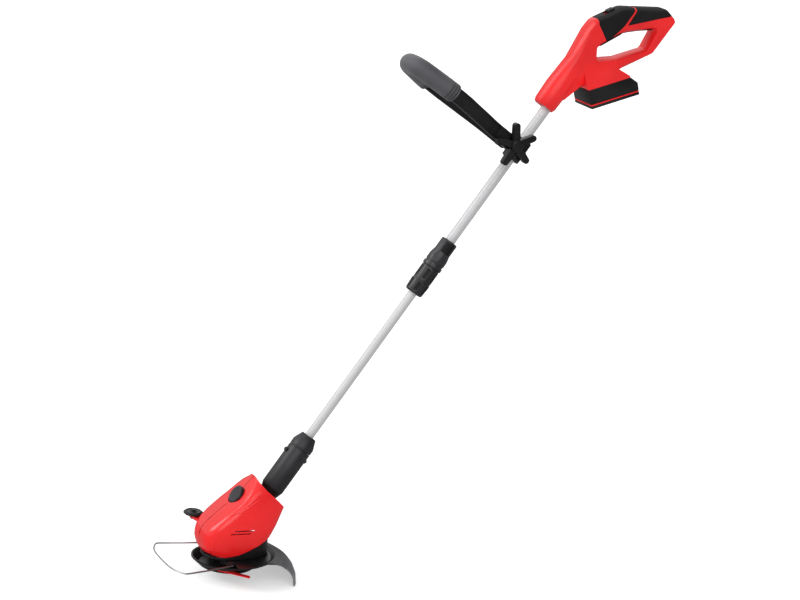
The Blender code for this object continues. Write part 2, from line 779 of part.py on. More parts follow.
def head_cuts(shell, side):
    """Mouth, rear slot, rim, button hole, pin hole, stem hole and the cooling slots of one shell."""
    mouth = plate("mouth_cut", MOUTH_LINE, -0.09, 0.09, SHAFT)
    slot_half = SLEEVE_RADIUS + REAR_SLOT_ROOM
    slot = box("rear_slot", (-REAR_SLOT_FRONT, -slot_half, -REAR_SLOT_DEPTH), (0.090, slot_half, 0.090),
               SHAFT)
    rim = plate("rim_cut", RIM_LINE, -0.09, 0.09, HEAD)
    button_hole = rod("button_hole", BUTTON_RADIUS + RUNNING, 0.0515, 0.080, SHAFT,
                      (0, 0, BUTTON_ALONG), ALONG_X.inverted(), steps=32)
    stem_hole = rod("stem_hole", BUTTON_STEM_RADIUS + RUNNING, 0.020, 0.040, SHAFT,
                    (0, 0, BUTTON_ALONG), ALONG_X.inverted(), steps=20)
    pin_hole = rod("tilt_pin_hole", TILT_PIN_RADIUS + GAP, -TILT_PIN_HALF - GAP,
                   TILT_PIN_HALF + GAP, SHAFT, turn=ALONG_Y, steps=16)
    drum_room = flat_plate("drum_room", drum_plan(GAP), BASE_BOTTOM, BASE_TOP + GAP, HEAD)
    cut(shell, stem_hole, button_hole, slot, mouth, rim, drum_room, pin_hole)
    for k in range(2):
        vent = box(
            "vent_slot",
            (VENT_X - VENT_LENGTH / 2 - 0.008 * k, side * 0.030, VENT_Z - VENT_PITCH * k),
            (VENT_X + VENT_LENGTH / 2 - 0.008 * k, side * 0.060, VENT_Z - VENT_PITCH * k + VENT_WIDTH),
            HEAD,
        )
        cut(shell, vent)


def wheel_arm(shell):
    """Arm on the right shell that carries the edging wheel's axle."""
    top = WHEEL_Z - 0.0010
    low = top - WHEEL_ARM_THICKNESS
    corners = [
        (WHEEL_X - WHEEL_ARM_HALF, WHEEL_Y + WHEEL_ARM_HALF, WHEEL_ARM_HALF - 0.0005),
        (WHEEL_X + WHEEL_ARM_HALF, WHEEL_Y + WHEEL_ARM_HALF, WHEEL_ARM_HALF - 0.0005),
        (WHEEL_X + WHEEL_ARM_HALF + 0.016, WHEEL_Y - 0.0250, 0.0),
        (WHEEL_X - WHEEL_ARM_HALF + 0.010, WHEEL_Y - 0.0320, 0.0),
    ]
    arm = flat_plate("wheel_arm", rounded(corners, 6), low, top, HEAD)
    axle_hole = rod("arm_axle_hole", WHEEL_AXLE_RADIUS + GAP, low - THROUGH, top + THROUGH, HEAD,
                    (WHEEL_X, WHEEL_Y, 0), steps=16)
    join(shell, arm)
    cut(shell, axle_hole)


def edging_wheel():
    """Guide wheel with a bevelled rim, and the axle that it turns on."""
    half = WHEEL_THICKNESS / 2
    middle = WHEEL_Z + half
    bore = WHEEL_AXLE_RADIUS + RUNNING
    turned(
        "edging_wheel",
        [(bore, half), (0.008, half), (0.0095, half - 0.0015), (0.0145, half - 0.0015), (0.0160, half),
         (WHEEL_RADIUS - 0.004, half), (WHEEL_RADIUS, 0.0008), (WHEEL_RADIUS, -0.0008),
         (WHEEL_RADIUS - 0.004, -half), (bore, -half)],
        HEAD, (WHEEL_X, WHEEL_Y, middle), slot="black_plastic", steps=24,
    )
    head_low = middle + half + RUNNING
    foot = WHEEL_Z - 0.0010 - WHEEL_ARM_THICKNESS
    turned(
        "wheel_axle",
        [(0, head_low + 0.0025), (0.0045, head_low + 0.0025), (0.0055, head_low + 0.0015),
         (0.0055, head_low), (WHEEL_AXLE_RADIUS, head_low), (WHEEL_AXLE_RADIUS, foot - GAP),
         (0.005, foot - GAP), (0.005, foot - 0.0022), (0, foot - 0.0022)],
        HEAD, (WHEEL_X, WHEEL_Y, 0), slot="plain_steel", steps=16, ring=False,
    )


def tilt_button():
    """Round button on the top seam, its spring, and the pin that the head tilts on."""
    under = BUTTON_TOP - 0.0145
    turned(
        "tilt_button",
        [(0, BUTTON_TOP), (BUTTON_RADIUS * 0.62, BUTTON_TOP - 0.0004),
         (BUTTON_RADIUS - 0.0018, BUTTON_TOP - 0.0013), (BUTTON_RADIUS, BUTTON_TOP - 0.0030),
         (BUTTON_RADIUS, under), (0.0215, under), (0.0215, under - BUTTON_FLANGE),
         (BUTTON_STEM_RADIUS, under - BUTTON_FLANGE), (BUTTON_STEM_RADIUS, SHELF_TOP + 0.005),
         (0, SHELF_TOP + 0.005)],
        SHAFT, (0, 0, BUTTON_ALONG), ALONG_X.inverted(), "black_plastic", 24, False,
    )
    coil = tube("button_spring",
                helix(0.009, SHELF_TOP + SPRING_WIRE + GAP, under - BUTTON_FLANGE - SPRING_WIRE - GAP, 4),
                SPRING_WIRE, SHAFT, "plain_steel", sides=1)
    coil.matrix_basis = Matrix.Translation((0, 0, BUTTON_ALONG)) @ ALONG_X.inverted()
    rod("tilt_pin", TILT_PIN_RADIUS, -TILT_PIN_HALF, TILT_PIN_HALF, SHAFT, turn=ALONG_Y,
        slot="plain_steel", steps=20)


def oval(front, rear, half, power, steps):
    """An egg-shaped plan: unlike half lengths to the front and the rear, as (x, y)."""
    points = []
    for k in range(steps):
        angle = math.tau * k / steps
        along = math.cos(angle)
        reach = rear if along >= 0 else front
        points.append((
            reach * math.copysign(abs(along) ** (2 / power), along),
            half * math.copysign(abs(math.sin(angle)) ** (2 / power), math.sin(angle)),
        ))
    return points


FLAT = ALONG_Y


def flat_plate(name, points, low, high, frame, slot=None, edge=0.0, segments=2):
    """An outline given as (x, y), reaching from low to high in z."""
    return plate(name, points, -high, -low, frame, turn=FLAT, slot=slot, edge=edge, segments=segments)


def drum_plan(grow):
    """Plan of the drum that stands up into the head; grow widens it."""
    return oval(DRUM_FRONT + grow, DRUM_REAR + grow, DRUM_HALF + grow, 2.5, 24)


def head_base():
    """Lower motor housing: a flange under the red rim and a drum that closes the head's rear."""
    flange_top = BASE_BOTTOM + BASE_FLANGE
    base = flat_plate("head_base", oval(BASE_FRONT, BASE_REAR, BASE_HALF, 2.3, 32), BASE_BOTTOM,
                      flange_top, HEAD, "black_plastic", 0.0012, 1)
    drum = flat_plate("base_drum", drum_plan(0), flange_top - 0.002, BASE_TOP, HEAD, edge=0.004,
                      segments=1)
    pocket = flat_plate("base_pocket", drum_plan(-BASE_WALL), BASE_BOTTOM + BASE_WALL,
                        BASE_TOP + THROUGH, HEAD)
    seat = rod("motor_seat", MOTOR_RADIUS + 0.0025, BASE_BOTTOM + 0.001, MOTOR_BOTTOM + 0.012, HEAD)
    well = rod("motor_well", MOTOR_RADIUS + GAP, MOTOR_BOTTOM - GAP, BASE_TOP + THROUGH, HEAD)
    spindle_hole = rod("base_spindle_hole", SPINDLE_RADIUS + 0.002, 0, BASE_TOP, HEAD, steps=20)
    join(base, drum)
    cut(base, pocket)
    join(base, seat)
    cut(base, well, spindle_hole)


def motor():
    """Motor can with its flat end boss, and the spindle it drives."""
    top = MOTOR_BOTTOM + MOTOR_HEIGHT
    bore = SPINDLE_RADIUS + GAP
    turned(
        "motor",
        [(bore, top), (0.008, top), (0.008, top - 0.004), (MOTOR_RADIUS - 0.003, top - 0.004),
         (MOTOR_RADIUS, top - 0.008), (MOTOR_RADIUS, MOTOR_BOTTOM), (bore, MOTOR_BOTTOM)],
        HEAD, slot="plain_steel", steps=28,
    )
    rod("motor_spindle", SPINDLE_RADIUS, DISC_WALL + GAP, top + 0.004, HEAD, slot="plain_steel",
        steps=16)


def cutting_disc():
    """Dished disc with a hub, a window in its cone for the blade, and the blade's pin."""
    wall = DISC_WALL
    slope = (DISC_TOP_RADIUS - DISC_BOTTOM_RADIUS) / DISC_HEIGHT
    inner_low = DISC_BOTTOM_RADIUS + slope * wall - wall
    disc = turned(
        "cutting_disc",
        [(0, HUB_HEIGHT), (HUB_RADIUS - 0.001, HUB_HEIGHT), (HUB_RADIUS, HUB_HEIGHT - 0.001),
         (HUB_RADIUS + 0.003, wall), (inner_low, wall), (DISC_TOP_RADIUS - wall, DISC_HEIGHT),
         (DISC_TOP_RADIUS, DISC_HEIGHT), (DISC_TOP_RADIUS, DISC_HEIGHT - 0.0025),
         (DISC_BOTTOM_RADIUS, 0), (0, 0)],
        HEAD, slot="black_plastic", steps=36, ring=False,
    )
    pin_turn = math.atan2(BLADE_PIN_Y, BLADE_PIN_X)
    pin_out = math.hypot(BLADE_PIN_X, BLADE_PIN_Y)
    window = box("blade_window", (pin_out - BLADE_WINDOW_BACK, -BLADE_WINDOW_HALF, wall),
                 (DISC_TOP_RADIUS + THROUGH, BLADE_WINDOW_HALF, wall + BLADE_WINDOW_HEIGHT),
                 HEAD, turn=Matrix.Rotation(pin_turn, 4, "Z"))
    bore = rod("disc_bore", SPINDLE_RADIUS + GAP, wall, HUB_HEIGHT + THROUGH, HEAD, steps=16)
    pin = rod("disc_pin", BLADE_PIN_RADIUS, wall - 0.001, wall + BLADE_THICKNESS + 0.0012, HEAD,
              (BLADE_PIN_X, BLADE_PIN_Y, 0), steps=16)
    cut(disc, window, bore)
    join(disc, pin)


def cutting_blade():
    """Thin plastic blade with an eye at the pin, bevelled to a point at its free end."""
    low = DISC_WALL + GAP
    half = BLADE_WIDTH / 2
    outline = rounded([
        (-half, -half, half - 0.0002), (-half, half, half - 0.0002), (BLADE_REACH - 0.004, half, 0.002),
        (BLADE_REACH, half - 0.005, 0.001), (BLADE_REACH, -half, 0.001),
    ], 5)
    blade = flat_plate("cutting_blade", outline, low, low + BLADE_THICKNESS, HEAD, "red_plastic")
    blade.matrix_basis = (
        Matrix.Translation((BLADE_PIN_X, BLADE_PIN_Y, 0)) @ Matrix.Rotation(BLADE_REST, 4, "Z") @ FLAT
    )
    eye = rod("blade_eye", BLADE_PIN_RADIUS + RUNNING, low - THROUGH, low + THROUGH, HEAD,
              (BLADE_PIN_X, BLADE_PIN_Y, 0), steps=16)
    cut(blade, eye)


def guard():
    """Fan-shaped guard behind the disc: a flat inner fan, a step, and a skirt that curves down."""
    top = GUARD_PLATE_Z + GUARD_WALL
    drop = GUARD_STEP_Z - GUARD_LOW_Z
    skirt = [
        (GUARD_STEP_RADIUS + (GUARD_RADIUS - GUARD_STEP_RADIUS) * math.sin(math.radians(a)),
         GUARD_LOW_Z + drop * math.cos(math.radians(a)))
        for a in (0, 18, 36, 54, 72, 90)
    ]
    outer = [(0.034, top), (GUARD_FLAT_RADIUS, top), (GUARD_STEP_RADIUS - 0.0035, GUARD_STEP_Z + 0.0015),
             (GUARD_STEP_RADIUS - 0.002, GUARD_STEP_Z)] + skirt[1:]
    under = [
        (GUARD_STEP_RADIUS + (GUARD_RADIUS - GUARD_WALL - GUARD_STEP_RADIUS) * math.sin(math.radians(a)),
         GUARD_LOW_Z + (drop - GUARD_WALL) * math.cos(math.radians(a)))
        for a in (90, 72, 54, 36, 18, 0)
    ]
    inner = under + [(GUARD_FLAT_RADIUS, GUARD_PLATE_Z), (0.034, GUARD_PLATE_Z)]
    debris = turned("debris_guard", outer + inner, HEAD, slot="dark_plastic", steps=56)
    plan = [
        (-0.024, -GUARD_HALF_FRONT + 0.016), (0.0013, -GUARD_HALF_FRONT), (0.058, -0.084),
        (0.127, -GUARD_HALF_REAR), (0.160, -GUARD_HALF_REAR), (0.160, GUARD_HALF_REAR),
        (0.127, GUARD_HALF_REAR), (0.058, 0.084), (0.0013, GUARD_HALF_FRONT),
        (-0.024, GUARD_HALF_FRONT - 0.016),
    ]
    keep(debris, flat_plate("guard_plan", plan, -0.06, 0.08, HEAD))
    for side, name in ((-1, "guard_screw_left"), (1, "guard_screw_right")):
        at = (GUARD_SCREW_X, side * GUARD_SCREW_Y, 0)
        hole = rod("guard_screw_hole", SCREW_RADIUS + GAP, GUARD_PLATE_Z - THROUGH, BASE_BOTTOM + 0.0022,
                   HEAD, at, steps=12)
        cut(debris, hole)
        cut(bpy.data.objects["head_base"], hole)
        low = GUARD_PLATE_Z - GAP
        turned(
            name,
            [(0, BASE_BOTTOM + 0.0018), (SCREW_RADIUS, BASE_BOTTOM + 0.0018), (SCREW_RADIUS, low),
             (SCREW_RADIUS * 2, low), (SCREW_RADIUS * 2, low - 0.0012), (SCREW_RADIUS * 1.5, low - 0.0020),
             (0, low - 0.0020)],
            HEAD, at, slot="plain_steel", steps=8, ring=False,
        )
    return debris


def plant_wire(debris):
    """Bent wire that keeps plants off; its turned-in ends hinge in the guard's ears."""
    z = WIRE_HINGE_Z
    near = [
        Vector((WIRE_HINGE_X, WIRE_HINGE_Y - 0.009, z)), Vector((WIRE_HINGE_X, WIRE_HINGE_Y - 0.001, z)),
        Vector((WIRE_HINGE_X - 0.001, WIRE_HINGE_Y, z)),
        Vector((WIRE_HINGE_X - 0.030, WIRE_HINGE_Y + 0.0055, z - 0.001)),
        Vector((-0.070, 0.081, z - 0.002)),
        Vector((WIRE_CORNER_X + 0.004, WIRE_FRONT_HALF - 0.0005, z - 0.003)),
        Vector((WIRE_CORNER_X - 0.003, WIRE_FRONT_HALF - 0.001, z - 0.003)),
        Vector((-0.131, 0.082, z - 0.0035)), Vector((-0.140, 0.062, z - 0.004)),
        Vector((-0.1440, 0.043, z - 0.004)), Vector((WIRE_FRONT_X + 0.0003, 0.020, z - 0.004)),
    ]
    far = [Vector((p.x, -p.y, p.z)) for p in reversed(near)]
    tube("plant_wire", near + [Vector((WIRE_FRONT_X, 0, z - 0.004))] + far, WIRE_RADIUS, HEAD,
         "plain_steel", sides=1)
    for side in (-1, 1):
        hole = rod("wire_hole", WIRE_RADIUS + GAP, -0.016, 0.016, HEAD,
                   (WIRE_HINGE_X, side * (WIRE_HINGE_Y - 0.004), z), ALONG_Y, steps=12)
        ear = box("wire_ear", (WIRE_HINGE_X - 0.006, side * (WIRE_HINGE_Y - 0.010) - 0.0035, z - 0.0042),
                  (WIRE_HINGE_X + 0.006, side * (WIRE_HINGE_Y - 0.010) + 0.0035, z + 0.0050), HEAD)
        join(debris, ear)
        gap_for_wire = box("wire_slot", (WIRE_HINGE_X - 0.05, side * (WIRE_HINGE_Y + 0.006) - 0.0115,
                                         GUARD_PLATE_Z - 0.004),
                           (WIRE_HINGE_X + 0.0065, side * (WIRE_HINGE_Y + 0.006) + 0.0115,
                            GUARD_PLATE_Z + 0.008), HEAD)
        cut(debris, gap_for_wire, hole)


def telescope_lock():
    """Twist collar and body that clamp the inner tube through a tapered, slit wedge."""
    body_low = TWIST_START + TWIST_LENGTH + GAP
    nose_low = TWIST_START + TWIST_LENGTH - LOCK_NOSE_LENGTH
    body_top = body_low + LOCK_BODY_LENGTH
    tube_seat = nose_low + LOCK_STOP_DEPTH
    tube_bore = UPPER_TUBE_RADIUS + GAP
    pass_bore = LOWER_TUBE_RADIUS + RUNNING
    ring_top = body_low + LOCK_RING_LENGTH
    body = turned(
        "telescope_body",
        [(0.0175, body_top), (0.0185, body_top - 0.002), (0.0185, body_top - 0.028),
         (LOCK_BODY_RADIUS, body_top - 0.041), (LOCK_BODY_RADIUS, ring_top + 0.006),
         (LOCK_BODY_RADIUS - 0.0015, ring_top + 0.002), (LOCK_BODY_RADIUS - 0.0015, ring_top),
         (LOCK_RING_RADIUS, ring_top), (LOCK_RING_RADIUS, body_low), (LOCK_NOSE_RADIUS, body_low),
         (LOCK_NOSE_RADIUS, nose_low), (pass_bore, nose_low), (pass_bore, tube_seat),
         (tube_bore, tube_seat), (tube_bore, body_top)],
        SHAFT, slot="black_plastic", steps=24,
    )
    for k in range(4):
        spin = Matrix.Rotation(math.tau * (k + 0.5) / 4, 4, "Z")
        panel = box("body_panel", (0.0200, -0.0065, 0.004), (0.030, 0.0065, 0.034), SHAFT,
                    (0, 0, ring_top + 0.006), spin)
        cut(body, panel)
    thread = LOCK_NOSE_RADIUS + RUNNING
    wedge_low = nose_low - 0.0008 - WEDGE_LENGTH
    wedge_in = LOWER_TUBE_RADIUS + GAP
    seat = WEDGE_THICK + wedge_in + GAP
    mouth = wedge_in + WEDGE_THIN + GAP
    top = TWIST_START + TWIST_LENGTH
    collar = turned(
        "twist_collar",
        [(0.0195, top), (0.0205, top - 0.004), (0.0205, TWIST_START + 0.033),
         (0.0200, TWIST_START + 0.030), (TWIST_RADIUS, TWIST_START + 0.028),
         (0.0200, TWIST_START + 0.003), (TWIST_MOUTH_RADIUS, TWIST_START),
         (wedge_in + 0.0004, TWIST_START), (wedge_in + 0.0004, wedge_low - GAP),
         (mouth, wedge_low - GAP), (seat, nose_low - 0.0005), (thread, nose_low - 0.0005),
         (thread, top)],
        SHAFT, slot="black_plastic", steps=24,
    )
    for k in range(6):
        spin = Matrix.Rotation(math.tau * k / 6, 4, "Z")
        scoop = box("collar_scoop", (0.0190, -0.0045, 0.006), (0.030, 0.0045, 0.026), SHAFT,
                    (0, 0, TWIST_START), spin)
        low_scoop = box("collar_low_scoop", (0.0190, -0.0040, 0.036), (0.030, 0.0040, 0.060), SHAFT,
                        (0, 0, TWIST_START), spin)
        cut(collar, scoop, low_scoop)
    wedge = turned(
        "telescope_wedge",
        [(wedge_in + WEDGE_THICK, wedge_low + WEDGE_LENGTH), (wedge_in + WEDGE_THIN, wedge_low),
         (wedge_in, wedge_low), (wedge_in, wedge_low + WEDGE_LENGTH)],
        SHAFT, slot="dark_plastic", steps=24,
    )
    slit = box("wedge_slit", (0, -WEDGE_SLIT / 2, wedge_low - THROUGH),
               (0.03, WEDGE_SLIT / 2, wedge_low + WEDGE_LENGTH + THROUGH), SHAFT)
    cut(wedge, slit)


def aux_frame_at(name):
    """Frame of the second handle at its bolt: x runs out from the shaft, z up the shaft."""
    turn = Matrix.Rotation(math.pi, 4, "Z")
    return frame_empty(name, Matrix.Translation((-AUX_BOLT_OUT, 0, AUX_ALONG)) @ turn, SHAFT)


def aux_clamp():
    """Two jaws round the upper tube, drawn together by four screws; the front one carries the bolt."""
    bore = UPPER_TUBE_RADIUS + GAP
    half = AUX_CLAMP_LENGTH / 2
    for side, name in ((-1, "aux_clamp_front"), (1, "aux_clamp_rear")):
        jaw = rod(name, AUX_CLAMP_RADIUS, -half, half, SHAFT, (0, 0, AUX_ALONG), slot="black_plastic",
                  steps=32)
        bevel(jaw, 0.0015, 1)
        flange = box("jaw_flange", (-AUX_FLANGE, -AUX_CLAMP_HALF, -half + 0.002),
                     (AUX_FLANGE, AUX_CLAMP_HALF, half - 0.002), SHAFT, (0, 0, AUX_ALONG),
                     round_edges=0.0015, segments=1)
        join(jaw, flange)
        if side < 0:
            block = box("bolt_block", (-AUX_BOLT_OUT, -AUX_BLOCK_HALF, -0.014),
                        (-0.012, AUX_BLOCK_HALF, 0.014), SHAFT, (0, 0, AUX_ALONG))
            boss = rod("bolt_boss", 0.014, -AUX_BLOCK_HALF, AUX_BLOCK_HALF, SHAFT,
                       (-AUX_BOLT_OUT, 0, AUX_ALONG), ALONG_Y, steps=24)
            bolt_hole = rod("block_hole", AUX_BOLT_RADIUS + GAP, -0.03, 0.03, SHAFT,
                            (-AUX_BOLT_OUT, 0, AUX_ALONG), ALONG_Y, steps=16)
            join(jaw, block, boss)
            cut(jaw, bolt_hole)
        tube_hole = rod("jaw_bore", bore, -0.04, 0.04, SHAFT, (0, 0, AUX_ALONG), steps=24)
        away = box("jaw_half", (GAP / 2 * side, -0.05, -0.05), (0.09 * side, 0.05, 0.05), SHAFT,
                   (0, 0, AUX_ALONG))
        cut(jaw, tube_hole)
        keep(jaw, away)
        clamp_screws(jaw, side > 0)


def clamp_screws(jaw, make):
    """One screw on each side of the tube, through both flanges."""
    for side, name in ((-1, "aux_clamp_screw_left"), (1, "aux_clamp_screw_right")):
        at = (0, side * AUX_SCREW_OUT, AUX_ALONG)
        cut(jaw, rod("jaw_screw_hole", SCREW_RADIUS + GAP, -0.012, 0.012, SHAFT, at, ALONG_X, steps=12))
        if make:
            head = AUX_FLANGE + GAP
            turned(
                name,
                [(0, head + 0.0025), (SCREW_RADIUS * 1.8, head + 0.0025), (SCREW_RADIUS * 2, head),
                 (SCREW_RADIUS, head), (SCREW_RADIUS, -AUX_FLANGE - 0.0005), (0, -AUX_FLANGE - 0.0005)],
                SHAFT, at, ALONG_X, "plain_steel", 8, False,
            )


def bail_route():
    """Centre line of the second handle's bar: two legs that spread, and an arch between them."""
    leg_in = AUX_BLOCK_HALF + GAP + AUX_EYE_PROUD + AUX_BAR_DEPTH / 2
    straight = AUX_KNOB_RADIUS + AUX_KNOB_ROOM
    top = AUX_TOP_OUT - AUX_BOLT_OUT
    ring = AUX_LEG_OUT - AUX_BOLT_OUT
    corners = [
        (-AUX_EYE_REACH, -leg_in, 0), (straight, -leg_in, 0.05), (ring - 0.03, -AUX_LEG_HALF, 0.06),
        (ring + 0.012, -AUX_LEG_HALF, 0.05), (top, -AUX_TOP_HALF, 0.035), (top, AUX_TOP_HALF, 0.035),
        (ring + 0.012, AUX_LEG_HALF, 0.05), (ring - 0.03, AUX_LEG_HALF, 0.06),
        (straight, leg_in, 0.05), (-AUX_EYE_REACH, leg_in, 0),
    ]
    route = rounded(corners, 3)
    start = min(range(len(route)), key=lambda k: (route[k][0], route[k][1]))
    return route[start:] + route[:start]


def swept(name, route, profile, frame, slot=None):
    """A flat profile (out, up) carried along a plane route (x, y) that is open at both ends."""
    shape = bmesh.new()
    rings = []
    points = [Vector(p) for p in route]
    for k, point in enumerate(points):
        back = (point - points[k - 1]).normalized() if k else None
        ahead = (points[k + 1] - point).normalized() if k + 1 < len(points) else None
        way = ((back or ahead) + (ahead or back)).normalized()
        normal = Vector((way.y, -way.x))
        stretch = 1.0 / max(0.5, way.dot(ahead or back))
        rings.append([
            shape.verts.new((point.x + normal.x * out * stretch, point.y + normal.y * out * stretch, up))
            for out, up in profile
        ])
    count = len(profile)
    for first, second in zip(rings, rings[1:]):
        for k in range(count):
            shape.faces.new((first[k], second[k], second[(k + 1) % count], first[(k + 1) % count]))
    shape.faces.new(rings[0])
    shape.faces.new(list(reversed(rings[-1])))
    bmesh.ops.recalc_face_normals(shape, faces=shape.faces)
    made = place(name, mesh_of(name, shape), frame, slot=slot)
    smooth(made)
    return made


def second_handle():
    """Bail handle with channelled legs, its soft grip, the cross bolt, star knob and nut."""
    bolt_frame = aux_frame_at("aux_bolt_frame")
    half_up = AUX_BAR_WIDTH / 2
    deep = AUX_BAR_DEPTH / 2
    route = bail_route()
    bar = [(-deep, -half_up + 0.003), (-deep + 0.003, -half_up), (deep, -half_up), (deep, half_up),
           (-deep + 0.003, half_up), (-deep, half_up - 0.003)]
    frame = swept("aux_frame", route, bar, bolt_frame, "black_plastic")
    ring = AUX_LEG_OUT - AUX_BOLT_OUT
    recess = [(deep - AUX_RECESS, -half_up + AUX_RIM), (deep + 0.01, -half_up + AUX_RIM),
              (deep + 0.01, half_up - AUX_RIM), (deep - AUX_RECESS, half_up - AUX_RIM)]
    for side in (-1, 1):
        leg = [p for p in route if p[1] * side > 0 and 0.018 < p[0] < ring - 0.008]
        leg.sort(key=lambda p: p[0], reverse=side > 0)
        cut(frame, swept("leg_recess", leg, recess, bolt_frame))
        edge_y = side * (AUX_BLOCK_HALF + GAP + AUX_EYE_PROUD + deep)
        eye = rod("leg_eye", half_up + AUX_EYE_PROUD, -deep - AUX_EYE_PROUD, deep + AUX_EYE_PROUD,
                  bolt_frame, (0, edge_y, 0), ALONG_Y, steps=28)
        join(frame, eye)
    bolt_hole = rod("frame_bolt_hole", AUX_BOLT_RADIUS + GAP, -0.06, 0.06, bolt_frame, turn=ALONG_Y,
                    steps=16)
    cut(frame, bolt_hole)
    grip_route = [p for p in route if p[0] >= ring - 0.0005]
    grip_ring = [(AUX_GRIP_RADIUS * math.cos(math.tau * k / 12), AUX_GRIP_RADIUS * math.sin(math.tau * k / 12))
                 for k in range(12)]
    grip = swept("aux_grip", grip_route, grip_ring, bolt_frame, "grey_rubber")
    clear = [(out * (1 + GAP / deep), up * (1 + GAP / half_up)) for out, up in bar]
    cut(grip, swept("grip_core", route, clear, bolt_frame))
    aux_bolt(bolt_frame)
    star_knob(bolt_frame)


def aux_bolt(bolt_frame):
    """Cross bolt: its head is on the right leg and its thread ends in the knob's insert."""
    leg_out = AUX_BLOCK_HALF + GAP + AUX_BAR_DEPTH + 2 * AUX_EYE_PROUD
    tip = -leg_out - AUX_KNOB_DEPTH + 0.005
    turned(
        "aux_bolt",
        [(0, leg_out + 0.0045), (0.0060, leg_out + 0.0040), (0.0085, leg_out + GAP),
         (AUX_BOLT_RADIUS, leg_out + GAP), (AUX_BOLT_RADIUS, tip), (0, tip)],
        bolt_frame, turn=TO_LEFT, slot="plain_steel", steps=16, ring=False,
    )
    low = -leg_out - 0.0005 - AUX_KNOB_DEPTH + 0.010
    turned(
        "knob_insert",
        [(AUX_NUT_RADIUS, low + 0.008), (AUX_NUT_RADIUS, low), (AUX_BOLT_RADIUS + GAP, low),
         (AUX_BOLT_RADIUS + GAP, low + 0.008)],
        bolt_frame, turn=TO_LEFT, slot="plain_steel", steps=16,
    )


def star_knob(bolt_frame):
    """Five-armed star knob on the left, with its arms cupped towards the hand."""
    face = AUX_BLOCK_HALF + GAP + AUX_BAR_DEPTH + 2 * AUX_EYE_PROUD + GAP
    hub = rod("aux_knob", AUX_KNOB_HUB, -face - AUX_KNOB_DEPTH, -face, bolt_frame, turn=TO_LEFT,
              slot="black_plastic", steps=20)
    bevel(hub, 0.0015, 1)
    for k in range(5):
        spin = Matrix.Rotation(math.tau * k / 5 + 0.35, 4, "Y")
        arm = rounded([(0.006, -0.008, 0.001), (AUX_KNOB_RADIUS, -0.0065, 0.0060),
                       (AUX_KNOB_RADIUS, 0.0065, 0.0060), (0.006, 0.008, 0.001)][::-1], 3)
        blade = plate("knob_arm", arm, face + 0.0035, face + 0.0165, bolt_frame, turn=spin)
        join(hub, blade)
    low = -face - AUX_KNOB_DEPTH + 0.010
    pocket = rod("insert_pocket", AUX_NUT_RADIUS + GAP, low - GAP, low + 0.008 + GAP + 0.02, bolt_frame,
                 turn=TO_LEFT, steps=20)
    hole = rod("knob_hole", AUX_BOLT_RADIUS + RUNNING, -face - AUX_KNOB_DEPTH + 0.003, -face + THROUGH,
               bolt_frame, turn=TO_LEFT, steps=16)
    cut(hub, pocket, hole)


HANDLE_OUTLINE = (
    (0.6360, 1.0400, 0.004), (0.6940, 1.1620, 0.020), (0.7080, 1.1820, 0.020), (0.7720, 1.2120, 0.030),
    (0.8800, 1.2130, 0.018), (0.9090, 1.1880, 0.008), (0.8600, 1.1160, 0.012), (0.7900, 1.0830, 0.004),
    (0.7740, 1.0730, 0.004), (0.7100, 1.0520, 0.006), (0.6780, 1.0250, 0.006), (0.6560, 1.0060, 0.006),
)
HANDLE_OPENING = (
    (0.7240, 1.1250, 0.003), (0.7860, 1.1600, 0.012), (0.8580, 1.1705, 0.004), (0.8560, 1.1600, 0.006),
    (0.8400, 1.1250, 0.010), (0.7740, 1.1040, 0.008), (0.7260, 1.0995, 0.003),
)
FRONT_PAD = (
    (0.7170, 1.1750, 0.001), (0.7120, 1.2300, 0.001), (0.8010, 1.2300, 0.001), (0.8010, 1.2080, 0.010),
    (0.7790, 1.1740, 0.001), (0.7420, 1.1370, 0.001),
)
REAR_PAD = (
    (0.8050, 1.2300, 0.001), (0.9300, 1.2300, 0.001), (0.9300, 1.1930, 0.001), (0.9000, 1.2005, 0.001),
    (0.8620, 1.1925, 0.020), (0.7860, 1.1750, 0.001), (0.8050, 1.2080, 0.010),
)


def pillow(name, corners, half, radius, frame, slot=None, hole=False):
    """A plane outline made a solid whose edges are rolled over: rings of the outline, moved inwards
    by radius * (1 - sin) as they near each side; for a hole they move outwards and run through."""
    quarter = [(half - radius + radius * math.cos(a), radius * (1 - math.sin(a)))
               for a in (0, math.radians(35), math.radians(90))]
    rings = [(-y, move) for y, move in quarter] + [(y, move) for y, move in reversed(quarter)]
    if hole:
        rings = [(-half - THROUGH, radius)] + rings + [(half + THROUGH, radius)]
    shape = bmesh.new()
    loops = []
    for y, move in rings:
        outline = rounded(inset(corners, -move if hole else move), 2)
        loops.append([shape.verts.new((x, y, z)) for x, z in outline])
    count = len(loops[0])
    for lower, upper in zip(loops, loops[1:]):
        for k in range(count):
            shape.faces.new((lower[k], lower[(k + 1) % count], upper[(k + 1) % count], upper[k]))
    shape.faces.new(list(reversed(loops[0])))
    shape.faces.new(loops[-1])
    bmesh.ops.recalc_face_normals(shape, faces=shape.faces)
    made = place(name, mesh_of(name, shape), frame, slot=slot)
    smooth(made)
    return made


def handle_solid(name, shrink, slot=None):
    """The D-shaped handle with its opening; shrink draws every face of it inwards."""
    half = HANDLE_HALF - shrink
    radius = HANDLE_ROUND - shrink
    body = pillow(name, inset(HANDLE_OUTLINE, shrink), half, radius, REAR, slot)
    cut(body, pillow(name + "_opening", inset(HANDLE_OPENING, -shrink), half, radius, REAR, hole=True))
    return body


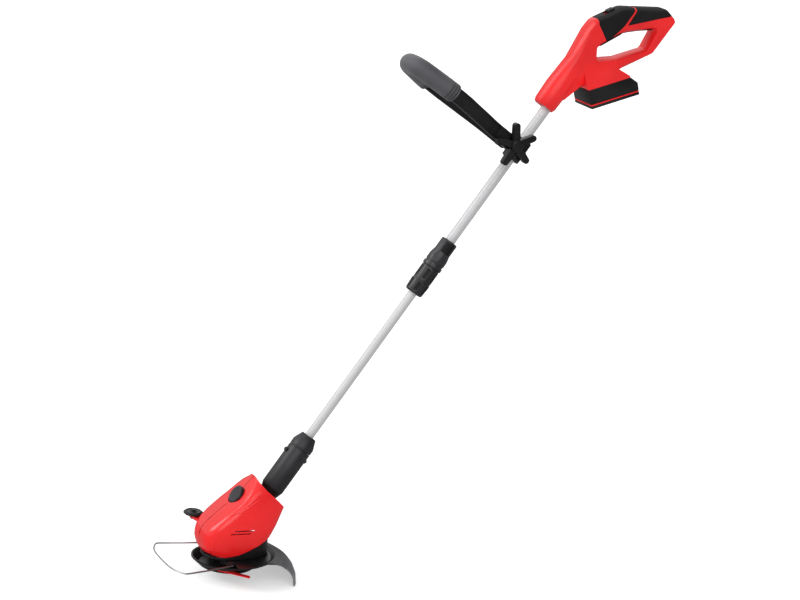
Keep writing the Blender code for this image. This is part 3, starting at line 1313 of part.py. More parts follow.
def handle_nose(name, shrink):
    """Round nose that the upper tube enters, wider towards the hand."""
    root = NOSE_START + NOSE_LENGTH
    radius = NOSE_RADIUS - shrink
    return turned(
        name,
        [(0, root), (NOSE_ROOT_RADIUS - 0.006 - shrink, root), (radius + 0.0015, NOSE_START + 0.05),
         (radius, NOSE_START + 0.008), (radius - 0.003, NOSE_START), (0, NOSE_START)],
        SHAFT, (-NOSE_OFFSET, 0, 0), steps=32, ring=False,
    )


def battery_foot(name):
    """Flared foot over the battery, from the full battery width up into the handle's body."""
    low = BATTERY_HEIGHT + GAP
    shape = bmesh.new()
    bottom = [(0.0, -FOOT_HALF, low), (FOOT_LENGTH, -FOOT_HALF, low), (FOOT_LENGTH, FOOT_HALF, low),
              (0.0, FOOT_HALF, low)]
    top = [(0.004, -0.018, low + 0.040), (FOOT_LENGTH - 0.024, -0.018, low + 0.028),
           (FOOT_LENGTH - 0.024, 0.018, low + 0.028), (0.004, 0.018, low + 0.040)]
    middle = [(-0.002, -FOOT_HALF, low + 0.004), (FOOT_LENGTH, -FOOT_HALF, low + 0.004),
              (FOOT_LENGTH, FOOT_HALF, low + 0.004), (-0.002, FOOT_HALF, low + 0.004)]
    rings = [[shape.verts.new(p) for p in loop] for loop in (bottom, middle, top)]
    for lower, upper in zip(rings, rings[1:]):
        for k in range(4):
            shape.faces.new((lower[k], lower[(k + 1) % 4], upper[(k + 1) % 4], upper[k]))
    shape.faces.new(list(reversed(rings[0])))
    shape.faces.new(rings[-1])
    bmesh.ops.recalc_face_normals(shape, faces=shape.faces)
    return place(name, mesh_of(name, shape), PACK)


def handle_pads():
    """Two soft pads that wrap over the top of the grip."""
    for name, corners in (("grip_pad_front", FRONT_PAD), ("grip_pad_rear", REAR_PAD)):
        pad = handle_solid(name, -0.0004, "soft_black")
        region = plate(name + "_region", rounded(inset(corners, GAP), 2), -0.04, 0.04, REAR)
        keep(pad, region)
        cut(pad, handle_solid(name + "_core", PAD_DEPTH))
        if name == "grip_pad_front":
            cut(pad, slider_pocket(0.0012))


def slider_pocket(room):
    """Pocket for the lock-off slider in the sloping front of the grip's top."""
    turn = Matrix.Rotation(-math.radians(25), 4, "Y")
    half = SLIDER_HALF + room
    return box("slider_pocket", (-SLIDER_LENGTH / 2 - room - SLIDER_TRAVEL, -half, -0.0085 - room),
               (SLIDER_LENGTH / 2 + room, half, 0.020), REAR, (0.7510, 0, 1.2010), turn)


def handle_shells():
    """Left and right shells: handle, nose and foot in one, hollowed for what they hold."""
    for side, name in ((-1, "handle_shell_left"), (1, "handle_shell_right")):
        shell = handle_solid(name, 0.0, "red_plastic")
        for corners in (FRONT_PAD, REAR_PAD):
            cut(shell, plate("pad_region", rounded(list(corners), 2), -0.04, 0.04, REAR))
        join(shell, handle_solid("pad_core", PAD_DEPTH + GAP))
        join(shell, handle_nose("handle_nose", 0.0), battery_foot("battery_foot"))
        keep(shell, box("handle_half", (0.3, GAP / 2 * side, 0.7), (1.1, 0.2 * side, 1.5), REAR))
        tube_room = rod("tube_room", UPPER_TUBE_RADIUS + GAP, NOSE_START - 0.02,
                        UPPER_TUBE_END + 0.002, SHAFT, steps=24)
        wire_room = rod("wire_room", 0.006, UPPER_TUBE_END, UPPER_TUBE_END + 0.045, SHAFT, steps=16)
        cut(shell, tube_room, wire_room)
        rail = box("rail_room", (RAIL_START - GAP, -RAIL_HALF - RUNNING, BATTERY_HEIGHT - THROUGH),
                   (FOOT_LENGTH + 0.03, RAIL_HALF + RUNNING, BATTERY_HEIGHT + RAIL_HEIGHT + RUNNING), PACK)
        contact_room = box("contact_room", (0.0197, -0.0153, BATTERY_HEIGHT), (0.0503, 0.0153, 0.0623),
                           PACK)
        cut(shell, rail, contact_room)
        trigger_room = plate("trigger_room", trigger_outline(0.0006, 0.008), -TRIGGER_HALF - RUNNING,
                             TRIGGER_HALF + RUNNING, REAR)
        switch_room = box("switch_room", (0.8097, -0.0093, 1.1700), (0.8403, 0.0093, 1.2023), REAR)
        spring_room = box("spring_room", (0.8447, -0.0053, 1.1650), (0.8553, 0.0053, 1.1960), REAR)
        cut(shell, trigger_room, switch_room, spring_room, slider_pocket(0.0005))
        handle_screws(shell, side)


SCREW_PLACES = (
    ("handle_screw_front", 0.690, 1.125),
    ("handle_screw_middle", 0.741, 1.075),
    ("handle_screw_rear", 0.880, 1.172),
)


def handle_screws(shell, side):
    """Housing screws from the right, in counterbored holes."""
    for name, x, z in SCREW_PLACES:
        turn = ALONG_Y
        seat = HANDLE_HALF - 0.0095
        cut(shell, rod("handle_screw_hole", SCREW_RADIUS + GAP, -0.0122, 0.0300, REAR, (x, 0, z), turn,
                       steps=12))
        if side < 0:
            continue
        cut(shell, rod("handle_screw_sink", SCREW_RADIUS * 2 + RUNNING, seat, 0.0400, REAR, (x, 0, z), turn,
                       steps=16))
        low = seat + GAP
        turned(
            name,
            [(0, low + 0.0018), (SCREW_RADIUS * 2, low + 0.0018), (SCREW_RADIUS * 2, low),
             (SCREW_RADIUS, low), (SCREW_RADIUS, -0.0115), (0, -0.0115)],
            REAR, (x, 0, z), turn, "plain_steel", 8, False,
        )


TRIGGER_FRONT_X = 0.7760
TRIGGER_FRONT_Z = 1.1590
TRIGGER_REAR_X = 0.8555
TRIGGER_REAR_Z = 1.1690


def trigger_outline(room, up):
    """Long thin trigger below the grip, pivoted at its front end; room grows it, up deepens it."""
    return [
        (TRIGGER_FRONT_X - 0.004 - room, TRIGGER_FRONT_Z - 0.002 - room),
        (TRIGGER_FRONT_X - 0.004 - room, TRIGGER_FRONT_Z + 0.006 + room),
        (TRIGGER_FRONT_X + 0.010, TRIGGER_FRONT_Z + 0.0075 + room + up * 0.2),
        (TRIGGER_REAR_X + room, TRIGGER_REAR_Z + 0.0045 + room + up),
        (TRIGGER_REAR_X + room, TRIGGER_REAR_Z - 0.0035 - room),
        (0.8200, 1.1622 - room), (0.7960, 1.1585 - room), (0.7830, 1.1555 - room),
    ]


def grip_controls():
    """Trigger, its spring, the switch it presses, and the lock-off slider."""
    trigger = plate("trigger", trigger_outline(0, 0), -TRIGGER_HALF, TRIGGER_HALF, REAR,
                    slot="black_plastic", edge=0.0012, segments=1)
    pin_hole = rod("trigger_pin_hole", 0.0018, -0.02, 0.02, REAR,
                   (TRIGGER_FRONT_X, 0, TRIGGER_FRONT_Z + 0.002), ALONG_Y, steps=12)
    cut(trigger, pin_hole)
    rod("trigger_pin", 0.0015, -0.0105, 0.0105, REAR, (TRIGGER_FRONT_X, 0, TRIGGER_FRONT_Z + 0.002),
        ALONG_Y, "plain_steel", 12)
    for name in ("handle_shell_left", "handle_shell_right"):
        cut(bpy.data.objects[name],
            rod("trigger_pin_seat", 0.0018, -0.0109, 0.0109, REAR,
                (TRIGGER_FRONT_X, 0, TRIGGER_FRONT_Z + 0.002), ALONG_Y, steps=12))
    coil = tube("trigger_spring", helix(0.0035, 1.1752, 1.1950, 3.5), 0.0005, REAR, "plain_steel", sides=1)
    coil.matrix_basis = Matrix.Translation((0.8500, 0, 0))
    box("switch_body", (0.8100, -0.0090, 1.1850), (0.8400, 0.0090, 1.2020), REAR, slot="black_plastic",
        round_edges=0.0008, segments=1)
    turn = Matrix.Rotation(-math.radians(25), 4, "Y")
    slider = box("lock_off_slider", (-SLIDER_LENGTH / 2, -SLIDER_HALF, -0.0085),
                 (SLIDER_LENGTH / 2, SLIDER_HALF, 0.0060), REAR, (0.7510, 0, 1.2010), turn,
                 "black_plastic", 0.0015)
    for k in range(3):
        groove = box("slider_groove", (-0.0045 + 0.004 * k, -0.02, 0.0052), (-0.0033 + 0.004 * k, 0.02, 0.01),
                     REAR, (0.7510, 0, 1.2010), turn)
        cut(slider, groove)
    box("terminal_block", (0.0200, -0.0150, BATTERY_HEIGHT + RAIL_HEIGHT + 0.0006), (0.0500, 0.0150, 0.0620),
        PACK, slot="black_plastic", round_edges=0.0008, segments=1)
    low = LOWER_TUBE_END + PLUG_RIM + TELESCOPE_TRAVEL + CABLE_TAIL
    high = UPPER_TUBE_END + LEAD_OUT
    tube("handle_lead", [(0, 0, low + (high - low) * k / 5) for k in range(6)], CABLE_RADIUS, SHAFT,
         "soft_black", sides=1)


def battery_outline(low, high, shrink):
    """The battery's side view between two heights: a chamfer takes the top rear corner."""
    top = BATTERY_HEIGHT - BATTERY_CHAMFER
    back = BATTERY_LENGTH - shrink
    if high <= top:
        return [(shrink, low), (shrink, high), (back, high), (back, low)]
    return [(shrink, low), (shrink, high), (back - (high - top) * 0.93, high), (back, top), (back, low)]


def battery():
    """Slide-on battery: tray, coloured band, cover with its rail, five cells and a release latch."""
    wall = BATTERY_WALL
    low = BATTERY_TRAY + BATTERY_BAND
    tray = box("battery_tray", (0, -BATTERY_HALF, 0), (BATTERY_LENGTH, BATTERY_HALF, BATTERY_TRAY - GAP),
               PACK, slot="black_plastic", round_edges=0.0025)
    cut(tray, box("tray_inside", (wall, -BATTERY_HALF + wall, wall),
                  (BATTERY_LENGTH - wall, BATTERY_HALF - wall, 0.02), PACK))
    inset_band = 0.0006
    band = box("battery_band", (inset_band, -BATTERY_HALF + inset_band, BATTERY_TRAY),
               (BATTERY_LENGTH - inset_band, BATTERY_HALF - inset_band, low - GAP), PACK,
               slot="red_plastic")
    cut(band, box("band_inside", (wall, -BATTERY_HALF + wall, 0),
                  (BATTERY_LENGTH - wall, BATTERY_HALF - wall, 0.02), PACK))
    cover = plate("battery_cover", battery_outline(low, BATTERY_HEIGHT, 0), -BATTERY_HALF, BATTERY_HALF,
                  PACK, slot="black_plastic", edge=0.0025)
    rail = box("battery_rail", (RAIL_START, -RAIL_HALF, BATTERY_HEIGHT - 0.002),
               (RAIL_START + RAIL_LENGTH, RAIL_HALF, BATTERY_HEIGHT + RAIL_HEIGHT), PACK)
    inside = plate("cover_inside", battery_outline(low - THROUGH, BATTERY_HEIGHT - wall, wall),
                   -BATTERY_HALF + wall, BATTERY_HALF - wall, PACK)
    join(cover, rail)
    cut(cover, inside)
    for k in range(3):
        cut(cover, box("contact_slot", (0.010, -0.0095 + 0.0085 * k, BATTERY_HEIGHT - 0.001),
                       (0.030, -0.0075 + 0.0085 * k, BATTERY_HEIGHT + RAIL_HEIGHT + THROUGH), PACK))
    latch_turn = Matrix.Rotation(math.atan2(BATTERY_CHAMFER, BATTERY_CHAMFER * 0.93), 4, "Y")
    latch_at = (BATTERY_LENGTH - BATTERY_CHAMFER * 0.465, 0, BATTERY_HEIGHT - BATTERY_CHAMFER * 0.5)
    cut(cover, box("latch_room", (-0.0072, -0.0143, -0.010), (0.0072, 0.0143, 0.010), PACK, latch_at,
                   latch_turn))
    box("battery_latch", (-0.0068, -0.0138, -0.0055), (0.0068, 0.0138, 0.0012), PACK, latch_at,
        latch_turn, "grey_rubber", 0.0010, 1)
    coil = tube("latch_spring", helix(0.003, -0.0125, -0.0064, 3), 0.0004, PACK, "plain_steel", sides=1)
    coil.matrix_basis = Matrix.Translation(latch_at) @ latch_turn
    battery_cells(wall)


def battery_cells(wall):
    """Five round cells side by side, welded to a connecting strip at each end."""
    pitch = CELL_RADIUS * 2 + 0.0012
    start = wall + 0.0012 + CELL_RADIUS
    height = BATTERY_TRAY + BATTERY_BAND + CELL_RADIUS + 0.0028
    cells = box("battery_cells", (start - 0.006, -CELL_HALF - 0.0005, height - 0.004),
                (start + pitch * (CELL_COUNT - 1) + 0.006, -CELL_HALF + 0.0003, height + 0.004), PACK,
                slot="cell_wrap")
    other = box("cell_strip", (start - 0.006, CELL_HALF - 0.0003, height - 0.004),
                (start + pitch * (CELL_COUNT - 1) + 0.006, CELL_HALF + 0.0005, height + 0.004), PACK)
    for k in range(CELL_COUNT):
        join(cells, rod("battery_cell", CELL_RADIUS, -CELL_HALF, CELL_HALF, PACK,
                        (start + pitch * k, 0, height), ALONG_Y, steps=20))
    join(cells, other)


def main():
    shaft_tubes()
    neck()
    head_shells()
    edging_wheel()
    tilt_button()
    head_base()
    motor()
    cutting_disc()
    cutting_blade()
    plant_wire(guard())
    telescope_lock()
    aux_clamp()
    second_handle()
    handle_pads()
    handle_shells()
    grip_controls()
    battery()
    bpy.context.view_layer.update()


main()
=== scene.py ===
"""Looks of the cordless grass trimmer: finishes, fine surfaces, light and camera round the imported
model."""
import json
import math

import bmesh
import bpy
import numpy as np
from mathutils import Matrix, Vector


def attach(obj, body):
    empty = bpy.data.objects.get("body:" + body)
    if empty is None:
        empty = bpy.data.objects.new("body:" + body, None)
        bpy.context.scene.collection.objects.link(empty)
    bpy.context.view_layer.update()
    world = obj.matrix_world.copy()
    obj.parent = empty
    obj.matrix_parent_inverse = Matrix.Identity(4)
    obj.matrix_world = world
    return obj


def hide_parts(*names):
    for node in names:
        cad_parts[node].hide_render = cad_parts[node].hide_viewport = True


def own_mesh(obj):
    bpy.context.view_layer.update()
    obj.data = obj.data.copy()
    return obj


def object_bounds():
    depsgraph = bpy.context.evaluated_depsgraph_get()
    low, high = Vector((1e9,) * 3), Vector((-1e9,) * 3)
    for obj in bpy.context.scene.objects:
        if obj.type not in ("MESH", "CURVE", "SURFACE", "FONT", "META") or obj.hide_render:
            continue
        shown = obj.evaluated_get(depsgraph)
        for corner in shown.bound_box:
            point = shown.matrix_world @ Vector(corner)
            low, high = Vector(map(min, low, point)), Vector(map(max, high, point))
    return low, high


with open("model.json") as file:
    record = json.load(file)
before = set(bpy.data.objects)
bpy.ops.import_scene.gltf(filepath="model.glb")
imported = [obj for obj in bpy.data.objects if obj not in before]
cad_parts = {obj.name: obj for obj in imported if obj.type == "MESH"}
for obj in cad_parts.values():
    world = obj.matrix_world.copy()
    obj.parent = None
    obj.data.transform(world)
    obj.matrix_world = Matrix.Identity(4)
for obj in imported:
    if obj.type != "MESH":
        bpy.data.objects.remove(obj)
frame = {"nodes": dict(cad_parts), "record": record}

CAD_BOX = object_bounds()
NODES = frame["nodes"]
BODY_OF = {
    node: body for body, nodes in frame["record"]["behaviour"]["bodies"].items() for node in nodes
}

# Lie of the shaft: its tilt pin, its direction and the direction square to it on the button's side
PIN = np.array([0.0678, 0.0, 0.1367])
SHAFT_RISE = math.radians(56.74)
SHAFT_LEAN = math.pi / 2 - SHAFT_RISE
ALONG = np.array([math.cos(SHAFT_RISE), 0.0, math.sin(SHAFT_RISE)])
OUT = np.array([-math.sin(SHAFT_RISE), 0.0, math.cos(SHAFT_RISE)])
ACROSS = np.array([0.0, 1.0, 0.0])
UP = np.array([0.0, 0.0, 1.0])

# Camera at the photograph's place
CAMERA_AT = (-2.066, -4.754, 1.944)
CAMERA_RIGHT = (0.8996, -0.4226, 0.1105)
CAMERA_BACK = (-0.4367, -0.8644, 0.2494)
CAMERA_LENS = 117.9
CAMERA_SENSOR = 36.0
CAMERA_REACH = 60.0

# Soft suns: name, direction towards the light, strength and angular size in degrees
KEY_TOWARDS = (-0.769, 0.253, 0.587)
SUNS = (
    ("key", KEY_TOWARDS, 1.15, 34.0),
    ("front_fill", (-0.25, -0.84, 0.48), 1.15, 50.0),
    ("behind", (0.25, 0.75, 0.61), 0.5, 50.0),
)

# Floor: its drop below the tool, its tone, its tone as the tool mirrors it, and its glow to the camera
FLOOR_DROP = 0.0006
FLOOR_TONE = (0.86, 0.86, 0.86)
FLOOR_TONE_MIRRORED = (0.28, 0.28, 0.28)
FLOOR_GLOW = 0.42

# World: its strength as diffuse light and to the camera. What shines sees a soft box round the key:
# the cosines at its edges, and its strength outside and inside.
WORLD_DIFFUSE = 0.52
WORLD_SEEN = 1.0
BOX_COSINES = (0.05, 0.80)
BOX_STRENGTHS = (0.13, 0.95)

# Colours as linear values
BRIGHT_RED = (0.90, 0.014, 0.016)
DEEP_RED = (0.74, 0.008, 0.010)
SEAM_RED = (0.20, 0.003, 0.004)
SEAM_DARK = (0.12, 0.002, 0.003)
PITCH = (0.0055, 0.0055, 0.006)
SOOT = (0.011, 0.011, 0.012)
SLATE = (0.021, 0.021, 0.025)
ASH = (0.036, 0.037, 0.042)
# Grey of the guard's skirt, a painted sheen
SHEEN_GREY = (0.24, 0.243, 0.26)
GRIP_GREY = (0.088, 0.088, 0.098)
GRIP_DARK = (0.060, 0.060, 0.068)
SATIN = (0.60, 0.595, 0.605)
SATIN_DIM = (0.53, 0.525, 0.535)
STEEL = (0.42, 0.42, 0.43)
STEEL_DIM = (0.30, 0.30, 0.31)
BLACKED = (0.05, 0.05, 0.052)
BLACKED_DIM = (0.03, 0.03, 0.032)
WRAP = (0.05, 0.11, 0.26)
WHITE = (1.0, 1.0, 1.0)

# Guard: the distances from the spindle's line between which it greys as a painted sheen on the skirt,
# and the grey's full share
GUARD_SHEEN = (0.094, 0.152)
GUARD_SHEEN_SHARE = 1.5

# Fine copies: distance at which points merge, angle of faces that count as flat, angle of hard edges,
# and how far an edge has to be past that angle, and how much longer than its rounding, to be rounded
MERGE = 0.00002
POLE_MERGE = 0.000005
FLAT_ANGLE = 0.6
SHARP_ANGLE = 34.0
BEVEL_PAST = 6
BEVEL_LENGTHS = 3
BEVEL_PROFILE = 0.6

# Turned and rounded shapes: steps round a full turn and along a corner's arc
ROUND_STEPS = 72
ARC_STEPS = 5

# Tubes: node, start and end along the shaft, outer radius and wall
TUBES = (
    ("lower_tube", 0.118, 0.780, 0.0095, 0.001),
    ("upper_tube", 0.5928, 1.085, 0.011, 0.0011),
)
TUBE_RIM = 0.0003

# Head outline: length along the shaft, reach of its top, reach of its widest line, half width, fullness
HEAD_LINES = np.array((
    (0.044, 0.0520, 0.006, 0.0425, 2.0), (0.031, 0.0532, 0.006, 0.0445, 2.2),
    (0.018, 0.0545, 0.010, 0.0465, 3.4), (0.000, 0.0560, 0.013, 0.0495, 4.8),
    (-0.020, 0.0585, 0.014, 0.0530, 5.8), (-0.050, 0.0680, 0.016, 0.0550, 6.0),
    (-0.090, 0.0795, 0.022, 0.0540, 5.6), (-0.110, 0.0825, 0.028, 0.0505, 4.6),
    (-0.125, 0.0795, 0.036, 0.0470, 4.0), (-0.138, 0.0710, 0.044, 0.0430, 3.6),
    (-0.147, 0.0610, 0.048, 0.0360, 3.2), (-0.1525, 0.0530, 0.0505, 0.0150, 2.4),
))[::-1]

# Creases on the left cheek: name, both ends as (length along the shaft, share round the head), half
# width and height
CREASES = (
    ("shoulder_crease", (0.012, 0.74), (-0.062, 0.34), 0.0030, 0.0011),
    ("cheek_crease", (0.012, 0.90), (-0.046, 0.60), 0.0026, 0.0009),
)
CREASE_CURVE = 1.3

# Seam on top of the head: its ends along the shaft, the gap round the tilt button, and its section
SEAM_ENDS = (-0.146, 0.040)
SEAM_GAP = (-0.041, 0.004)
SEAM_PROUD = 0.00005
SEAM_HALF_WIDTH = 0.0006
SEAM_HEIGHT = 0.00025

# Tilt button: its place along the shaft, its radius and the reach of its top
BUTTON_ALONG = -0.0185
BUTTON_RADIUS = 0.0205
BUTTON_TOP = 0.0645

# Second handle's grip: the bail's root, the corners of its middle line in the bail's plane (out,
# across) and the reach of each corner's bend
GRIP_ROOT = (0.913, 0.031)
GRIP_CORNERS = (
    (0.2010, -0.062), (0.2130, -0.062), (0.2850, -0.030), (0.2850, 0.030), (0.2130, 0.062),
    (0.2010, 0.062),
)
GRIP_BENDS = (0.0105, 0.0227, 0.0227, 0.0105)
GRIP_BEND_STEPS = 14
GRIP_END = 0.022
GRIP_RADIUS = 0.0206
GRIP_ROLL = 0.0030
GRIP_ROLL_LENGTH = 0.003
GRIP_SIDES = 56

# Grooves near both ends of the grip, as lengths from the end, and the dark band in each, painted shade
# in the groove
GRIP_RINGS = (0.0050, 0.0095, 0.0140)
GROOVE_DEPTH = 0.0016
GROOVE_HALF = 0.0013
GROOVE_SHADE_REACH = 0.0196
GROOVE_SHADE_HALF = (0.0005, 0.0006)

# Telescope lock: its two finger pads, and the floors of the two rows of scoops in its collar, darkened
# as painted shade
LOCK_PAD = {"low": 0.6435, "high": 0.6695, "radius": 0.0185, "half_width": 0.0112, "rise": 0.0005}
LOCK_PAD_TURNS = (math.pi / 2 - 0.20, -math.pi / 2 - 0.20)
SCOOP_ROWS = (
    ("scoop_shade_low", {"low": 0.5463, "high": 0.5657, "half_width": 0.0043}),
    ("scoop_shade_high", {"low": 0.5763, "high": 0.5997, "half_width": 0.0038}),
)
SCOOP_COUNT = 6
SCOOP_RADIUS = 0.0190
SCOOP_RISE = 0.0004

# Dark strip under the front pad, painted shade along the hand opening's sloping edge: its ends, how far
# it lies inside the opening's edge and out from the middle
SHADE_STRIP_LOW = np.array([0.7262, 0.0, 1.1268])
SHADE_STRIP_HIGH = np.array([0.7790, 0.0, 1.1566])
SHADE_STRIP_INSIDE = 0.0028
SHADE_STRIP_ASIDE = 0.0187
SHADE_STRIP_HALF_WIDTH = 0.0040
SHADE_STRIP_HEIGHT = 0.0007


def shaft_point(along, out):
    """World point at a length along the shaft and a reach out of it on the button's side."""
    return PIN + along * ALONG + out * OUT


def rgba(colour):
    return (*colour, 1.0)


def link(tree, source, target):
    tree.links.new(source, target)


def shared_effect(name, inputs, outputs):
    """A node group with named inputs and outputs; returns its tree, its input and its output node."""
    tree = bpy.data.node_groups.new(name, "ShaderNodeTree")
    kinds = {"value": "NodeSocketFloat", "colour": "NodeSocketColor", "vector": "NodeSocketVector"}
    for label, kind in inputs:
        tree.interface.new_socket(label, in_out="INPUT", socket_type=kinds[kind])
    for label, kind in outputs:
        tree.interface.new_socket(label, in_out="OUTPUT", socket_type=kinds[kind])
    return tree, tree.nodes.new("NodeGroupInput"), tree.nodes.new("NodeGroupOutput")


def rough_and_bumped(tree, given, made, drift_noise, bump_noise):
    """The two ends that effects share: roughness Rough + Drift * (noise - 0.5), and a bump of the
    given depth."""
    centre = tree.nodes.new("ShaderNodeMath")
    centre.operation = "SUBTRACT"
    centre.inputs[1].default_value = 0.5
    drift = tree.nodes.new("ShaderNodeMath")
    drift.operation = "MULTIPLY_ADD"
    bump = tree.nodes.new("ShaderNodeBump")
    bump.inputs["Strength"].default_value = 1.0
    link(tree, drift_noise.outputs["Fac"], centre.inputs[0])
    link(tree, centre.outputs[0], drift.inputs[0])
    link(tree, given.outputs["Drift"], drift.inputs[1])
    link(tree, given.outputs["Rough"], drift.inputs[2])
    link(tree, bump_noise.outputs["Fac"], bump.inputs["Height"])
    link(tree, given.outputs["Depth"], bump.inputs["Distance"])
    link(tree, drift.outputs[0], made.inputs["Roughness"])
    link(tree, bump.outputs["Normal"], made.inputs["Normal"])


def moulded_grain():
    """Fine spark-eroded grain of a moulding: a bump, and a roughness that drifts over the surface."""
    tree, given, made = shared_effect(
        "moulded_grain",
        [("Place", "vector"), ("Grain", "value"), ("Depth", "value"), ("Rough", "value"),
         ("Drift", "value")],
        [("Roughness", "value"), ("Normal", "vector")],
    )
    fine = tree.nodes.new("ShaderNodeTexNoise")
    fine.inputs["Detail"].default_value = 3.0
    fine.inputs["Roughness"].default_value = 0.6
    broad = tree.nodes.new("ShaderNodeTexNoise")
    broad.inputs["Scale"].default_value = 22.0
    broad.inputs["Detail"].default_value = 2.0
    link(tree, given.outputs["Place"], fine.inputs["Vector"])
    link(tree, given.outputs["Place"], broad.inputs["Vector"])
    link(tree, given.outputs["Grain"], fine.inputs["Scale"])
    rough_and_bumped(tree, given, made, broad, fine)
    return tree


def colour_drift():
    """Two near shades mixed by broad soft clouds, as thick and thin plastic or handling gives."""
    tree, given, made = shared_effect(
        "colour_drift",
        [("Place", "vector"), ("Main", "colour"), ("Other", "colour"), ("Size", "value")],
        [("Colour", "colour")],
    )
    cloud = tree.nodes.new("ShaderNodeTexNoise")
    cloud.inputs["Detail"].default_value = 2.5
    span = tree.nodes.new("ShaderNodeMapRange")
    span.inputs["From Min"].default_value = 0.38
    span.inputs["From Max"].default_value = 0.66
    blend = tree.nodes.new("ShaderNodeMix")
    blend.data_type = "RGBA"
    link(tree, given.outputs["Place"], cloud.inputs["Vector"])
    link(tree, given.outputs["Size"], cloud.inputs["Scale"])
    link(tree, cloud.outputs["Fac"], span.inputs["Value"])
    link(tree, span.outputs["Result"], blend.inputs["Factor"])
    link(tree, given.outputs["Main"], blend.inputs["A"])
    link(tree, given.outputs["Other"], blend.inputs["B"])
    link(tree, blend.outputs["Result"], made.inputs["Colour"])
    return tree


def drawn_lines():
    """Faint lines along a drawn tube or wire: noise stretched along the local Z of the given place."""
    tree, given, made = shared_effect(
        "drawn_lines",
        [("Place", "vector"), ("Lines", "value"), ("Depth", "value"), ("Rough", "value"),
         ("Drift", "value")],
        [("Mask", "value"), ("Roughness", "value"), ("Normal", "vector")],
    )
    stretch = tree.nodes.new("ShaderNodeVectorMath")
    stretch.operation = "MULTIPLY"
    stretch.inputs[1].default_value = (1.0, 1.0, 0.012)
    noise = tree.nodes.new("ShaderNodeTexNoise")
    noise.inputs["Detail"].default_value = 3.0
    link(tree, given.outputs["Place"], stretch.inputs[0])
    link(tree, stretch.outputs["Vector"], noise.inputs["Vector"])
    link(tree, given.outputs["Lines"], noise.inputs["Scale"])
    link(tree, noise.outputs["Fac"], made.inputs["Mask"])
    rough_and_bumped(tree, given, made, noise, noise)
    return tree


GRAIN = moulded_grain()
CLOUDS = colour_drift()
LINES = drawn_lines()


def bare_finish(name, metallic=0.0, coat=0.0, coat_rough=0.1, specular=0.5, sheen=0.0):
    """A material with its shader and its Object coordinates, ready for the shared effects."""
    made = bpy.data.materials.new(name)
    made.use_nodes = True
    tree = made.node_tree
    shader = tree.nodes["Principled BSDF"]
    shader.inputs["Metallic"].default_value = metallic
    shader.inputs["Coat Weight"].default_value = coat
    shader.inputs["Coat Roughness"].default_value = coat_rough
    shader.inputs["Specular IOR Level"].default_value = specular
    shader.inputs["Sheen Weight"].default_value = sheen
    place = tree.nodes.new("ShaderNodeTexCoord").outputs["Object"]
    return made, tree, shader, place


def use_effect(tree, effect, place, **values):
    """One shared effect in a material, with the material's own values."""
    node = tree.nodes.new("ShaderNodeGroup")
    node.node_tree = effect
    link(tree, place, node.inputs["Place"])
    for label, value in values.items():
        node.inputs[label].default_value = value
    return node


def plastic(name, main, other, rough, grain=900.0, depth=0.00002, drift=0.12, size=14.0,
            **shader_values):
    """A moulded plastic or rubber: clouded colour under a fine grain."""
    made, tree, shader, place = bare_finish(name, **shader_values)
    clouds = use_effect(tree, CLOUDS, place, Main=rgba(main), Other=rgba(other), Size=size)
    texture = use_effect(tree, GRAIN, place, Grain=grain, Depth=depth, Rough=rough, Drift=drift)
    link(tree, clouds.outputs["Colour"], shader.inputs["Base Color"])
    link(tree, texture.outputs["Roughness"], shader.inputs["Roughness"])
    link(tree, texture.outputs["Normal"], shader.inputs["Normal"])
    return made


def metal(name, main, other, rough, lean, lines=420.0, drift=0.25, metallic=1.0):
    """A drawn metal whose lines run along the direction that leans from upright by the given angle."""
    made, tree, shader, place = bare_finish(name, metallic=metallic)
    turn = tree.nodes.new("ShaderNodeMapping")
    turn.inputs["Rotation"].default_value = (0.0, -lean, 0.0)
    link(tree, place, turn.inputs["Vector"])
    drawn = use_effect(tree, LINES, turn.outputs["Vector"], Lines=lines, Depth=0.000006, Rough=rough,
                       Drift=drift)
    blend = tree.nodes.new("ShaderNodeMix")
    blend.data_type = "RGBA"
    blend.inputs["A"].default_value = rgba(main)
    blend.inputs["B"].default_value = rgba(other)
    link(tree, drawn.outputs["Mask"], blend.inputs["Factor"])
    link(tree, blend.outputs["Result"], shader.inputs["Base Color"])
    link(tree, drawn.outputs["Roughness"], shader.inputs["Roughness"])
    link(tree, drawn.outputs["Normal"], shader.inputs["Normal"])
    return made


